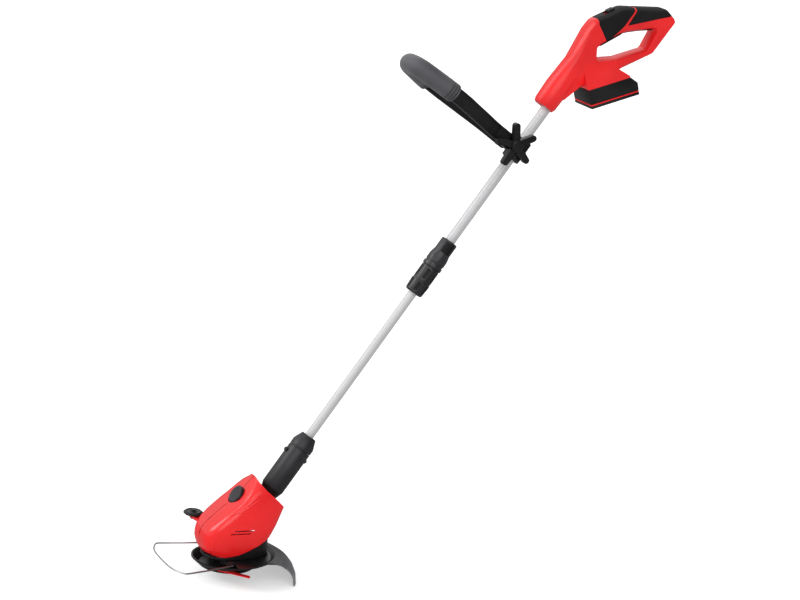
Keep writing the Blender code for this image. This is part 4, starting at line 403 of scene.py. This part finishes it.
def sheen_painted_guard():
    """Guard plastic that greys towards the skirt's edge as a painted sheen on the lit skirt: the share
    of grey rises with the distance from the spindle's line, times a blotched noise."""
    made = plastic("guard_slate", SOOT, PITCH, 0.36, grain=700.0, size=9.0, specular=0.4)
    tree = made.node_tree
    shader = tree.nodes["Principled BSDF"]
    coordinates = next(n for n in tree.nodes if n.bl_idname == "ShaderNodeTexCoord")
    place = coordinates.outputs["Object"]
    base = shader.inputs["Base Color"].links[0].from_socket
    flat = tree.nodes.new("ShaderNodeVectorMath")
    flat.operation = "MULTIPLY"
    flat.inputs[1].default_value = (1.0, 1.0, 0.0)
    reach = tree.nodes.new("ShaderNodeVectorMath")
    reach.operation = "LENGTH"
    sheen_ramp = tree.nodes.new("ShaderNodeMapRange")
    sheen_ramp.interpolation_type = "SMOOTHSTEP"
    sheen_ramp.inputs["From Min"].default_value = GUARD_SHEEN[0]
    sheen_ramp.inputs["From Max"].default_value = GUARD_SHEEN[1]
    sheen_ramp.inputs["To Max"].default_value = GUARD_SHEEN_SHARE
    blotch = tree.nodes.new("ShaderNodeTexNoise")
    blotch.inputs["Scale"].default_value = 60.0
    blotch.inputs["Detail"].default_value = 4.0
    share = tree.nodes.new("ShaderNodeMath")
    share.operation = "MULTIPLY"
    grey = tree.nodes.new("ShaderNodeMix")
    grey.data_type = "RGBA"
    grey.inputs["B"].default_value = rgba(SHEEN_GREY)
    link(tree, place, flat.inputs[0])
    link(tree, flat.outputs["Vector"], reach.inputs[0])
    link(tree, reach.outputs["Value"], sheen_ramp.inputs["Value"])
    link(tree, place, blotch.inputs["Vector"])
    link(tree, sheen_ramp.outputs["Result"], share.inputs[0])
    link(tree, blotch.outputs["Fac"], share.inputs[1])
    link(tree, share.outputs[0], grey.inputs["Factor"])
    link(tree, base, grey.inputs["A"])
    link(tree, grey.outputs["Result"], shader.inputs["Base Color"])
    return made


FINISHES = {
    "gloss_red": plastic("gloss_red", BRIGHT_RED, DEEP_RED, 0.26, grain=260.0, depth=0.000010,
                         drift=0.06, size=7.0, coat=0.22, coat_rough=0.14, specular=0.42),
    "handle_red": plastic("handle_red", BRIGHT_RED, DEEP_RED, 0.36, grain=520.0, depth=0.000012,
                          drift=0.08, size=9.0, coat=0.08, coat_rough=0.25, specular=0.38),
    "blade_red": plastic("blade_red", DEEP_RED, BRIGHT_RED, 0.42, grain=400.0, depth=0.00001),
    "seam_shadow": plastic("seam_shadow", SEAM_RED, SEAM_DARK, 0.6, specular=0.2),
    "neck_slate": plastic("neck_slate", SLATE, SOOT, 0.44, grain=1300.0, depth=0.00003,
                          specular=0.42),
    "guard_slate": sheen_painted_guard(),
    "collar_black": plastic("collar_black", SLATE, SOOT, 0.40, grain=1100.0),
    "deep_black": plastic("deep_black", SOOT, PITCH, 0.36, grain=1100.0, specular=0.34),
    "pack_black": plastic("pack_black", SOOT, PITCH, 0.30, grain=1500.0, specular=0.38),
    # Black rubber of the pads, also used as painted shade in the collar's scoops and along the hand
    # opening
    "rubber_and_painted_shade": plastic("rubber_and_painted_shade", PITCH, SOOT, 0.66, grain=1700.0, depth=0.00006,
                          specular=0.28),
    "grip_foam": plastic("grip_foam", GRIP_GREY, GRIP_DARK, 0.62, grain=1400.0, depth=0.00005,
                         sheen=0.15),
    "button_grey": plastic("button_grey", ASH, SLATE, 0.55, grain=1400.0, depth=0.00003,
                           specular=0.35),
    "cable_black": plastic("cable_black", SOOT, PITCH, 0.6),
    "cell_blue": plastic("cell_blue", WRAP, SLATE, 0.35, grain=400.0),
    "satin_aluminium": metal("satin_aluminium", SATIN, SATIN_DIM, 0.50, SHAFT_LEAN, metallic=0.25),
    "plain_steel": metal("plain_steel", STEEL, STEEL_DIM, 0.30, 0.0, lines=300.0),
    "black_steel": metal("black_steel", BLACKED, BLACKED_DIM, 0.42, 0.0, lines=300.0),
    "wire_steel": metal("wire_steel", STEEL, STEEL_DIM, 0.34, math.pi / 2, lines=500.0, drift=0.12),
}

# Finish of each node; a node that isn't named here is deep_black
NODES_IN_FINISH = {
    "gloss_red": ["head_shell_left", "head_shell_right"],
    "handle_red": ["handle_shell_left", "handle_shell_right", "battery_band"],
    "blade_red": ["cutting_blade"],
    "neck_slate": ["neck_sleeve", "guide_pin_rear", "guide_pin_front", "lock_collar", "tube_plug",
                   "telescope_wedge"],
    "guard_slate": ["debris_guard"],
    "collar_black": ["telescope_body", "twist_collar"],
    "pack_black": ["battery_cover", "battery_tray"],
    "rubber_and_painted_shade": ["grip_pad_front", "grip_pad_rear"],
    "grip_foam": ["aux_grip"],
    "button_grey": ["tilt_button", "battery_latch"],
    "cable_black": ["lower_cable", "handle_lead"],
    "cell_blue": ["battery_cells"],
    "satin_aluminium": ["lower_tube", "upper_tube"],
    "wire_steel": ["plant_wire"],
    "black_steel": ["wheel_axle"],
    "plain_steel": ["stop_ring", "collar_spring", "button_spring", "tilt_pin", "motor",
                    "motor_spindle", "guard_screw_left", "guard_screw_right",
                    "aux_clamp_screw_left", "aux_clamp_screw_right", "aux_bolt", "knob_insert",
                    "handle_screw_front", "handle_screw_middle", "handle_screw_rear",
                    "trigger_pin", "trigger_spring", "latch_spring"],
}
NODE_FINISH = {node: finish for finish, nodes in NODES_IN_FINISH.items() for node in nodes}


def finish_of(node):
    return FINISHES[NODE_FINISH.get(node, "deep_black")]


def as_object(name, mesh, material, body):
    """A finished mesh as a piece that rides on a body."""
    made = bpy.data.objects.new(name, mesh)
    bpy.context.scene.collection.objects.link(made)
    mesh.materials.clear()
    mesh.materials.append(material)
    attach(made, body)
    return made


def refined(node, round_by, sharp):
    """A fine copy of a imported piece: doubles merged, flat faces joined, long hard edges rounded and
    the shading smooth."""
    mesh = NODES[node].data.copy()
    shape = bmesh.new()
    shape.from_mesh(mesh)
    bmesh.ops.remove_doubles(shape, verts=shape.verts, dist=MERGE)
    bmesh.ops.dissolve_limit(shape, angle_limit=math.radians(FLAT_ANGLE), verts=shape.verts,
                             edges=shape.edges)
    if round_by:
        edges = [e for e in shape.edges if len(e.link_faces) == 2
                 and e.calc_face_angle(0.0) > math.radians(sharp + BEVEL_PAST)
                 and e.calc_length() > BEVEL_LENGTHS * round_by]
        bmesh.ops.bevel(shape, geom=edges, offset=round_by, segments=2, profile=BEVEL_PROFILE,
                        affect="EDGES", clamp_overlap=True)
    bmesh.ops.triangulate(shape, faces=[f for f in shape.faces if len(f.verts) > 4])
    shape.to_mesh(mesh)
    shape.free()
    mesh.name = node + "_fine"
    for layer in list(mesh.attributes):
        if layer.name == "custom_normal":
            mesh.attributes.remove(layer)
    mesh.shade_smooth()
    mesh.set_sharp_from_angle(angle=math.radians(sharp))
    made = as_object(node + "_fine", mesh, finish_of(node), BODY_OF[node])
    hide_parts(node)
    return made


def surface(name, points, material, body, loop_u=False, loop_v=False, sharp=None):
    """A grid of points, rows by columns, as a closed smooth mesh; loops join the last row or column
    to the first, and rows that shrink to a point are merged into a pole."""
    rows, columns = points.shape[:2]
    index = np.arange(rows * columns).reshape(rows, columns)
    if loop_u:
        index = np.vstack((index, index[:1]))
    if loop_v:
        index = np.hstack((index, index[:, :1]))
    corners = (index[:-1, :-1], index[:-1, 1:], index[1:, 1:], index[1:, :-1])
    quads = np.stack(corners, axis=-1).reshape(-1, 4)
    mesh = bpy.data.meshes.new(name)
    mesh.from_pydata(points.reshape(-1, 3).tolist(), [], quads.tolist())
    shape = bmesh.new()
    shape.from_mesh(mesh)
    bmesh.ops.remove_doubles(shape, verts=shape.verts, dist=POLE_MERGE)
    bmesh.ops.recalc_face_normals(shape, faces=shape.faces)
    shape.to_mesh(mesh)
    shape.free()
    mesh.shade_smooth()
    if sharp:
        mesh.set_sharp_from_angle(angle=math.radians(sharp))
    return as_object(name, mesh, material, body)


def turned_grid(profile, centre, axis, start):
    """Grid of a turned shape: each profile point (along, radius) swept round the axis,
    centre + along * axis + radius * (cos a * start + sin a * (axis x start))."""
    profile = np.array(profile, dtype=float)
    angle = np.linspace(0.0, math.tau, ROUND_STEPS, endpoint=False)
    side = np.cross(axis, start)
    ring = np.cos(angle)[:, None] * start + np.sin(angle)[:, None] * side
    return centre + profile[:, :1, None] * axis + profile[:, 1:, None] * ring[None, :, :]


def corner_arc(before, here, after, cut_in, cut_out, steps):
    """Quadratic curve in place of a corner, from cut_in before it to cut_out after it:
    (1 - t)^2 * a + 2 t (1 - t) * corner + t^2 * b."""
    t = np.linspace(0.0, 1.0, steps)[:, None]
    a = here + (before - here) / np.linalg.norm(before - here) * cut_in
    b = here + (after - here) / np.linalg.norm(after - here) * cut_out
    return (1 - t) ** 2 * a + 2 * t * (1 - t) * here + t ** 2 * b


def rounded_profile(corners, radius):
    """A profile whose inner corners are replaced by arcs, each cut by the radius or by nearly half
    of the shorter side."""
    corners = np.array(corners, dtype=float)
    points = [corners[:1]]
    for before, here, after in zip(corners[:-2], corners[1:-1], corners[2:]):
        cut = min(radius, 0.45 * np.linalg.norm(before - here), 0.45 * np.linalg.norm(after - here))
        points.append(corner_arc(before, here, after, cut, cut, ARC_STEPS))
    points.append(corners[-1:])
    return np.vstack(points)


def tube_pieces():
    """The two aluminium tubes as turned walls with slightly rounded rims."""
    for node, low, high, radius, wall in TUBES:
        inner = radius - wall
        corners = [(low, inner), (low, radius), (high, radius), (high, inner), (low, inner)]
        profile = rounded_profile(corners, TUBE_RIM)[:-1]
        made = surface(node + "_fine", turned_grid(profile, PIN, ALONG, OUT), finish_of(node),
                       BODY_OF[node], loop_u=True, loop_v=True, sharp=40)
        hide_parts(node)


def on_head(along, share):
    """Points on the head's upper skin: share 0 is the top seam and 1 the widest line, on the left
    side. With a the share of a quarter turn, across is half width * sin(a)^(2/p) and the reach is
    widest + rise * cos(a)^(2/p), where p is the fullness."""
    top, wide, half, full = (
        np.interp(along, HEAD_LINES[:, 0], HEAD_LINES[:, k]) for k in (1, 2, 3, 4)
    )
    angle = np.asarray(share) * math.pi / 2
    out = wide + (top - wide) * np.abs(np.cos(angle)) ** (2 / full)
    across = half * np.abs(np.sin(angle)) ** (2 / full)
    return (PIN + np.multiply.outer(along, ALONG) + np.multiply.outer(out, OUT)
            - np.multiply.outer(across, ACROSS))


def skin_normals(along, share):
    """Normals of the head's skin from its slopes along and round it, turned outwards."""
    small = 0.0005
    run = on_head(along + small, share) - on_head(along - small, share)
    turn = on_head(along, share + 0.01) - on_head(along, share - 0.01)
    normal = np.cross(turn, run)
    normal = normal / np.linalg.norm(normal, axis=1)[:, None]
    flip = np.sign(normal @ -ACROSS + 0.2 * (normal @ OUT))
    return normal * flip[:, None]


def bead(name, path, normal, half_width, height, material, body, around=12):
    """A low bead on a skin: at each path point an ellipse, half width across the path and height
    along the skin's normal, that shrinks to nothing over the first and last tenth of the path."""
    step = np.gradient(path, axis=0)
    way = step / np.linalg.norm(step, axis=1)[:, None]
    across = np.cross(way, normal)
    across = across / np.linalg.norm(across, axis=1)[:, None]
    run = np.linspace(0.0, 1.0, len(path))
    fade = np.sqrt(np.clip(np.minimum(run, 1 - run) * 10.0, 0.0, 1.0))
    angle = np.linspace(0.0, math.tau, around, endpoint=False)
    side = half_width * fade[:, None] * np.cos(angle)
    rise = height * fade[:, None] * np.sin(angle)
    grid = (path[:, None, :] + side[..., None] * across[:, None, :]
            + rise[..., None] * normal[:, None, :])
    return surface(name, grid, material, body, loop_v=True)


def head_lines():
    """The two creases on the left cheek, and the seam on top before and behind the tilt button."""
    t = np.linspace(0.0, 1.0, 48)
    for name, (along_0, share_0), (along_1, share_1), half_width, height in CREASES:
        along = along_0 + (along_1 - along_0) * t
        share = share_0 + (share_1 - share_0) * t ** CREASE_CURVE
        bead(name, on_head(along, share), skin_normals(along, share), half_width, height,
             FINISHES["gloss_red"], "head")
    along = np.linspace(*SEAM_ENDS, 90)
    path = on_head(along, np.zeros(90)) + SEAM_PROUD * OUT
    normal = np.cross(np.gradient(path, axis=0), ACROSS)
    normal = normal / np.linalg.norm(normal, axis=1)[:, None]
    normal = normal * np.sign(normal @ OUT)[:, None]
    for part, name in ((along < SEAM_GAP[0], "top_seam_front"), (along > SEAM_GAP[1], "top_seam_rear")):
        bead(name, path[part], normal[part], SEAM_HALF_WIDTH, SEAM_HEIGHT, FINISHES["seam_shadow"],
             "head")


def tilt_button_top():
    """The tilt button: a dished grey face and a side in deep black as painted shade, both turned about
    the button's axis.
    Their profiles are depths below the top and shares of the radius."""
    centre = shaft_point(BUTTON_ALONG, 0.0)
    face = [(0.0010, 0.0), (0.0007, 0.45), (0.0002, 0.80), (0.0006, 0.90), (0.0014, 0.935),
            (0.0040, 0.935), (0.0040, 0.0)]
    side = [(0.0022, 0.90), (0.0014, 0.945), (0.0019, 0.985), (0.0034, 1.0), (0.0145, 1.0),
            (0.0145, 0.90)]
    face, side = (
        [(BUTTON_TOP - depth, share * BUTTON_RADIUS) for depth, share in points]
        for points in (face, side)
    )
    grid = turned_grid(rounded_profile(face, 0.0006), centre, OUT, ALONG)
    cap = surface("tilt_button_face", grid, FINISHES["button_grey"], "tilt_button",
                  loop_v=True, sharp=50)
    # The side in deep black is painted shade of the button's side wall; the face keeps its grey
    ring = surface("tilt_button_shaded_side", turned_grid(side, centre, OUT, ALONG),
                   FINISHES["deep_black"], "tilt_button", loop_u=True, loop_v=True, sharp=50)
    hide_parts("tilt_button")
    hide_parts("tilt_button")


def grip_route():
    """Middle line of the grip in the bail's plane: straight runs joined by arcs, taken at closer
    steps near both ends, then smoothed by a running mean. Returns its points, the length up to each
    and the whole length."""
    corners = np.array(GRIP_CORNERS)
    pieces = [corners[:1]]
    for before, here, after, cut in zip(corners[:-2], corners[1:-1], corners[2:], GRIP_BENDS):
        cut_in = min(cut, 0.9 * np.linalg.norm(before - here))
        pieces.append(corner_arc(before, here, after, cut_in, cut, GRIP_BEND_STEPS))
    pieces.append(corners[-1:])
    route = np.vstack(pieces)
    steps = np.linalg.norm(np.diff(route, axis=0), axis=1)
    length = np.concatenate(([0.0], np.cumsum(steps)))
    whole = length[-1]
    run = np.unique(np.concatenate((
        np.linspace(0.0, GRIP_END, 60), np.linspace(GRIP_END, whole - GRIP_END, 120),
        np.linspace(whole - GRIP_END, whole, 60),
    )))
    plane = np.stack([np.interp(run, length, route[:, k]) for k in (0, 1)], axis=1)
    mean = np.ones(13) / 13
    soft = np.stack(
        [np.convolve(np.pad(plane[:, k], 6, mode="edge"), mean, "valid") for k in (0, 1)], axis=1
    )
    soft[:8] = plane[:8]
    soft[-8:] = plane[-8:]
    return soft, run, whole


def soft_grip():
    """Soft grip on the second handle: a round section carried along the bail's arch, whose radius
    loses a square roll towards both ends and a cosine-shaped groove at each ring."""
    route, run, whole = grip_route()
    from_end = np.minimum(run, whole - run)
    radius = GRIP_RADIUS - GRIP_ROLL * np.clip(1 - from_end / GRIP_ROLL_LENGTH, 0, 1) ** 2
    for ring in GRIP_RINGS:
        groove = np.cos(np.clip((from_end - ring) / GROOVE_HALF, -1, 1) * math.pi)
        radius = radius - GROOVE_DEPTH * (0.5 + 0.5 * groove)
    step = np.gradient(route, axis=0)
    way = step / np.linalg.norm(step, axis=1)[:, None]
    side = way[:, 1:] * OUT - way[:, :1] * ACROSS
    middle = shaft_point(*GRIP_ROOT) + route[:, :1] * OUT + route[:, 1:] * ACROSS
    angle = np.linspace(0.0, math.tau, GRIP_SIDES, endpoint=False)
    rings = (np.cos(angle)[None, :, None] * side[:, None, :]
             + np.sin(angle)[None, :, None] * ALONG)
    grid = middle[:, None, :] + radius[:, None, None] * rings
    first, last = (np.broadcast_to(m, grid[0].shape)[None] for m in (middle[0], middle[-1]))
    body = BODY_OF["aux_grip"]
    made = surface("aux_grip_fine", np.concatenate((first, grid, last)), FINISHES["grip_foam"],
                   body, loop_v=True, sharp=60)
    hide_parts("aux_grip")
    # Dark bands on the grooves' floors are painted shade in the grooves
    turn = np.linspace(0.0, math.tau, 12, endpoint=False)[None, :, None]
    for number, place in enumerate([p for ring in GRIP_RINGS for p in (ring, whole - ring)]):
        here = int(np.argmin(np.abs(run - place)))
        loop = middle[here] + GROOVE_SHADE_REACH * rings[here]
        beside = way[here, 0] * OUT - way[here, 1] * ACROSS
        band = (loop[:, None, :] + GROOVE_SHADE_HALF[0] * np.cos(turn) * rings[here][:, None, :]
                + GROOVE_SHADE_HALF[1] * np.sin(turn) * beside)
        surface(f"grip_groove_shade_{number}", band, FINISHES["deep_black"], body, loop_u=True, loop_v=True)


def inlay(name, body, spin, curved, low, high, radius, half_width, rise):
    """A dark pad let into the lock, also put on the floors of the collar's scoops as painted shade: a
    loop of half width * cos^(1/3) by rise * sin^(1/3), drawn in towards both ends by (1 - |v|^8)^(1/8),
    laid on a flat or on a cylinder round the shaft."""
    v = np.linspace(-1.0, 1.0, 41)
    along = (low + high) / 2 + (high - low) / 2 * v
    fade = np.maximum(1 - np.abs(v) ** 8, 0.0) ** 0.125
    angle = np.linspace(0.0, math.tau, 40, endpoint=False)
    cos, sin = np.cos(angle), np.sin(angle)
    wide = half_width * fade[:, None] * np.sign(cos) * np.abs(cos) ** (1 / 3)
    reach = radius + rise * fade[:, None] * np.sign(sin) * np.abs(sin) ** (1 / 3)
    turn = spin + (wide / radius if curved else 0 * wide)
    side = 0 * wide if curved else wide
    towards = np.cos(turn)[..., None] * OUT - np.sin(turn)[..., None] * ACROSS
    beside = -np.sin(turn)[..., None] * OUT - np.cos(turn)[..., None] * ACROSS
    grid = (PIN + along[:, None, None] * ALONG + reach[..., None] * towards
            + side[..., None] * beside)
    return surface(name, grid, FINISHES["rubber_and_painted_shade"], body, loop_v=True, sharp=50)


def lock_pads():
    """Finger pads on the neck of the telescope body, and dark floors in the twist collar's scoops as
    painted shade.
    """
    for number, spin in enumerate(LOCK_PAD_TURNS):
        inlay(f"lock_pad_{number}", "upper_body", spin, True, **LOCK_PAD)
    # Black floors in the collar's scoops are painted shade in the recesses
    for number in range(SCOOP_COUNT):
        for name, row in SCOOP_ROWS:
            inlay(f"{name}_{number}", "twist_collar", math.tau * number / SCOOP_COUNT, False,
                  radius=SCOOP_RADIUS, rise=SCOOP_RISE, **row)


def pad_shade_strip():
    """Dark strip under the front pad along the hand opening's sloping edge, on both sides, as painted
    shade.
    """
    way = (SHADE_STRIP_HIGH - SHADE_STRIP_LOW) / np.linalg.norm(SHADE_STRIP_HIGH - SHADE_STRIP_LOW)
    inside = np.array([way[2], 0.0, -way[0]])
    t = np.linspace(0.0, 1.0, 30)[:, None]
    # The strips are painted shade along the opening's edge under the front pad
    for side, name in ((-1.0, "pad_shade_strip_left"), (1.0, "pad_shade_strip_right")):
        path = (SHADE_STRIP_LOW + (SHADE_STRIP_HIGH - SHADE_STRIP_LOW) * t - SHADE_STRIP_INSIDE * inside
                + SHADE_STRIP_ASIDE * side * ACROSS)
        normal = np.repeat(((inside + side * ACROSS) / math.sqrt(2.0))[None], 30, axis=0)
        bead(name, path, normal, SHADE_STRIP_HALF_WIDTH, SHADE_STRIP_HEIGHT, FINISHES["rubber_and_painted_shade"], "upper_body",
             around=16)


def pale_floor():
    """Pale floor under the tool, a little brighter to the camera and darker to what shines."""
    low = CAD_BOX[0][2] - FLOOR_DROP
    mesh = bpy.data.meshes.new("floor")
    mesh.from_pydata([(-12, -12, low), (12, -12, low), (12, 16, low), (-12, 16, low)], [],
                     [(0, 1, 2, 3)])
    floor = bpy.data.objects.new("floor", mesh)
    bpy.context.scene.collection.objects.link(floor)
    made = bpy.data.materials.new("pale_floor")
    made.use_nodes = True
    tree = made.node_tree
    shader = tree.nodes["Principled BSDF"]
    shader.inputs["Roughness"].default_value = 0.9
    shader.inputs["Specular IOR Level"].default_value = 0.1
    shader.inputs["Emission Color"].default_value = rgba(WHITE)
    path = tree.nodes.new("ShaderNodeLightPath")
    glow = tree.nodes.new("ShaderNodeMath")
    glow.operation = "MULTIPLY"
    glow.inputs[1].default_value = FLOOR_GLOW
    tone = tree.nodes.new("ShaderNodeMix")
    tone.data_type = "RGBA"
    tone.inputs["A"].default_value = rgba(FLOOR_TONE)
    tone.inputs["B"].default_value = rgba(FLOOR_TONE_MIRRORED)
    link(tree, path.outputs["Is Camera Ray"], glow.inputs[0])
    link(tree, glow.outputs[0], shader.inputs["Emission Strength"])
    link(tree, path.outputs["Is Glossy Ray"], tone.inputs["Factor"])
    link(tree, tone.outputs["Result"], shader.inputs["Base Color"])
    mesh.materials.append(made)


def studio_world():
    """White world: full white to the camera, an even light, and to what shines a soft box that
    brightens with the cosine between its direction and the key's."""
    world = bpy.data.worlds.new("studio")
    world.use_nodes = True
    bpy.context.scene.world = world
    tree = world.node_tree
    back = tree.nodes["Background"]
    back.inputs["Color"].default_value = rgba(WHITE)
    place = tree.nodes.new("ShaderNodeTexCoord")
    cosine = tree.nodes.new("ShaderNodeVectorMath")
    cosine.operation = "DOT_PRODUCT"
    cosine.inputs[1].default_value = KEY_TOWARDS
    softbox = tree.nodes.new("ShaderNodeMapRange")
    softbox.interpolation_type = "SMOOTHSTEP"
    softbox.inputs["From Min"].default_value = BOX_COSINES[0]
    softbox.inputs["From Max"].default_value = BOX_COSINES[1]
    softbox.inputs["To Min"].default_value = BOX_STRENGTHS[0]
    softbox.inputs["To Max"].default_value = BOX_STRENGTHS[1]
    path = tree.nodes.new("ShaderNodeLightPath")
    mirrored = tree.nodes.new("ShaderNodeMix")
    mirrored.inputs["A"].default_value = WORLD_DIFFUSE
    seen = tree.nodes.new("ShaderNodeMix")
    seen.inputs["B"].default_value = WORLD_SEEN
    link(tree, place.outputs["Generated"], cosine.inputs[0])
    link(tree, cosine.outputs["Value"], softbox.inputs["Value"])
    link(tree, path.outputs["Is Glossy Ray"], mirrored.inputs["Factor"])
    link(tree, softbox.outputs["Result"], mirrored.inputs["B"])
    link(tree, path.outputs["Is Camera Ray"], seen.inputs["Factor"])
    link(tree, mirrored.outputs["Result"], seen.inputs["A"])
    link(tree, seen.outputs["Result"], back.inputs["Strength"])


def unit(vector):
    return np.array(vector) / np.linalg.norm(vector)


def suns():
    """The soft suns, each turned so that its local +Z points towards the light."""
    for name, towards, power, size in SUNS:
        lamp = bpy.data.lights.new(name, "SUN")
        lamp.energy = power
        lamp.angle = math.radians(size)
        held = bpy.data.objects.new(name, lamp)
        z = unit(towards)
        x = unit(np.cross(UP, z))
        turn = Matrix(np.stack((x, np.cross(z, x), z), axis=1).tolist())
        held.rotation_mode = "QUATERNION"
        held.rotation_quaternion = turn.to_quaternion()
        bpy.context.scene.collection.objects.link(held)


def photo_camera():
    """Camera at the photograph's angle: its axes and place are those of the fit on the shaft."""
    data = bpy.data.cameras.new("camera")
    data.lens = CAMERA_LENS
    data.sensor_width = CAMERA_SENSOR
    data.clip_end = CAMERA_REACH
    camera = bpy.data.objects.new("camera", data)
    bpy.context.scene.collection.objects.link(camera)
    back = unit(CAMERA_BACK)
    right = unit(CAMERA_RIGHT)
    turn = Matrix(np.stack((right, np.cross(back, right), back), axis=1).tolist()).to_4x4()
    camera.matrix_world = Matrix.Translation(CAMERA_AT) @ turn
    bpy.context.scene.camera = camera


# Nodes whose pieces are made from profiles; all the others are fine copies
MADE_ANEW = ("lower_tube", "upper_tube", "tilt_button", "aux_grip")

# Rounding of the long hard edges, where it isn't zero, and angle of hard edges, where it is its own
ROUNDED = {
    "head_base": 0.0008, "lock_collar": 0.0006, "neck_sleeve": 0.0005, "battery_cover": 0.0016,
    "battery_tray": 0.0008, "battery_band": 0.0004, "twist_collar": 0.0006,
    "telescope_body": 0.0006, "aux_knob": 0.0008, "aux_frame": 0.0006, "trigger": 0.0008,
    "cutting_blade": 0.0003, "debris_guard": 0.0006, "aux_clamp_front": 0.0006,
    "aux_clamp_rear": 0.0006,
}
SHARP = {"handle_shell_left": 40.0, "handle_shell_right": 40.0}

# Springs: joint, direction, fixed end and share of length that is left; each only gets a mesh of its
# own here, nothing shortens it
SPRINGS = {
    "collar_spring": ("collar_pull", ALONG, shaft_point(0.1611, 0.0), 0.47),
    "button_spring": ("tilt_button_press", OUT, (0.0329, 0.0, 0.1386), 0.73),
    "trigger_spring": ("trigger_press", UP, (0.850, 0.0, 1.1955), 0.67),
    "latch_spring": ("battery_latch_press", (0.49208, 0.0, 0.87055), (0.8049, 0.0, 1.0514), 0.46),
}


def main():
    bpy.context.scene.view_settings.view_transform = "Standard"
    photo_camera()
    pale_floor()
    studio_world()
    suns()
    tube_pieces()
    head_lines()
    tilt_button_top()
    soft_grip()
    lock_pads()
    pad_shade_strip()
    for node in NODES:
        if node not in MADE_ANEW:
            made = refined(node, ROUNDED.get(node, 0.0), SHARP.get(node, SHARP_ANGLE))
            if node in SPRINGS:
                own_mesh(made)


main()
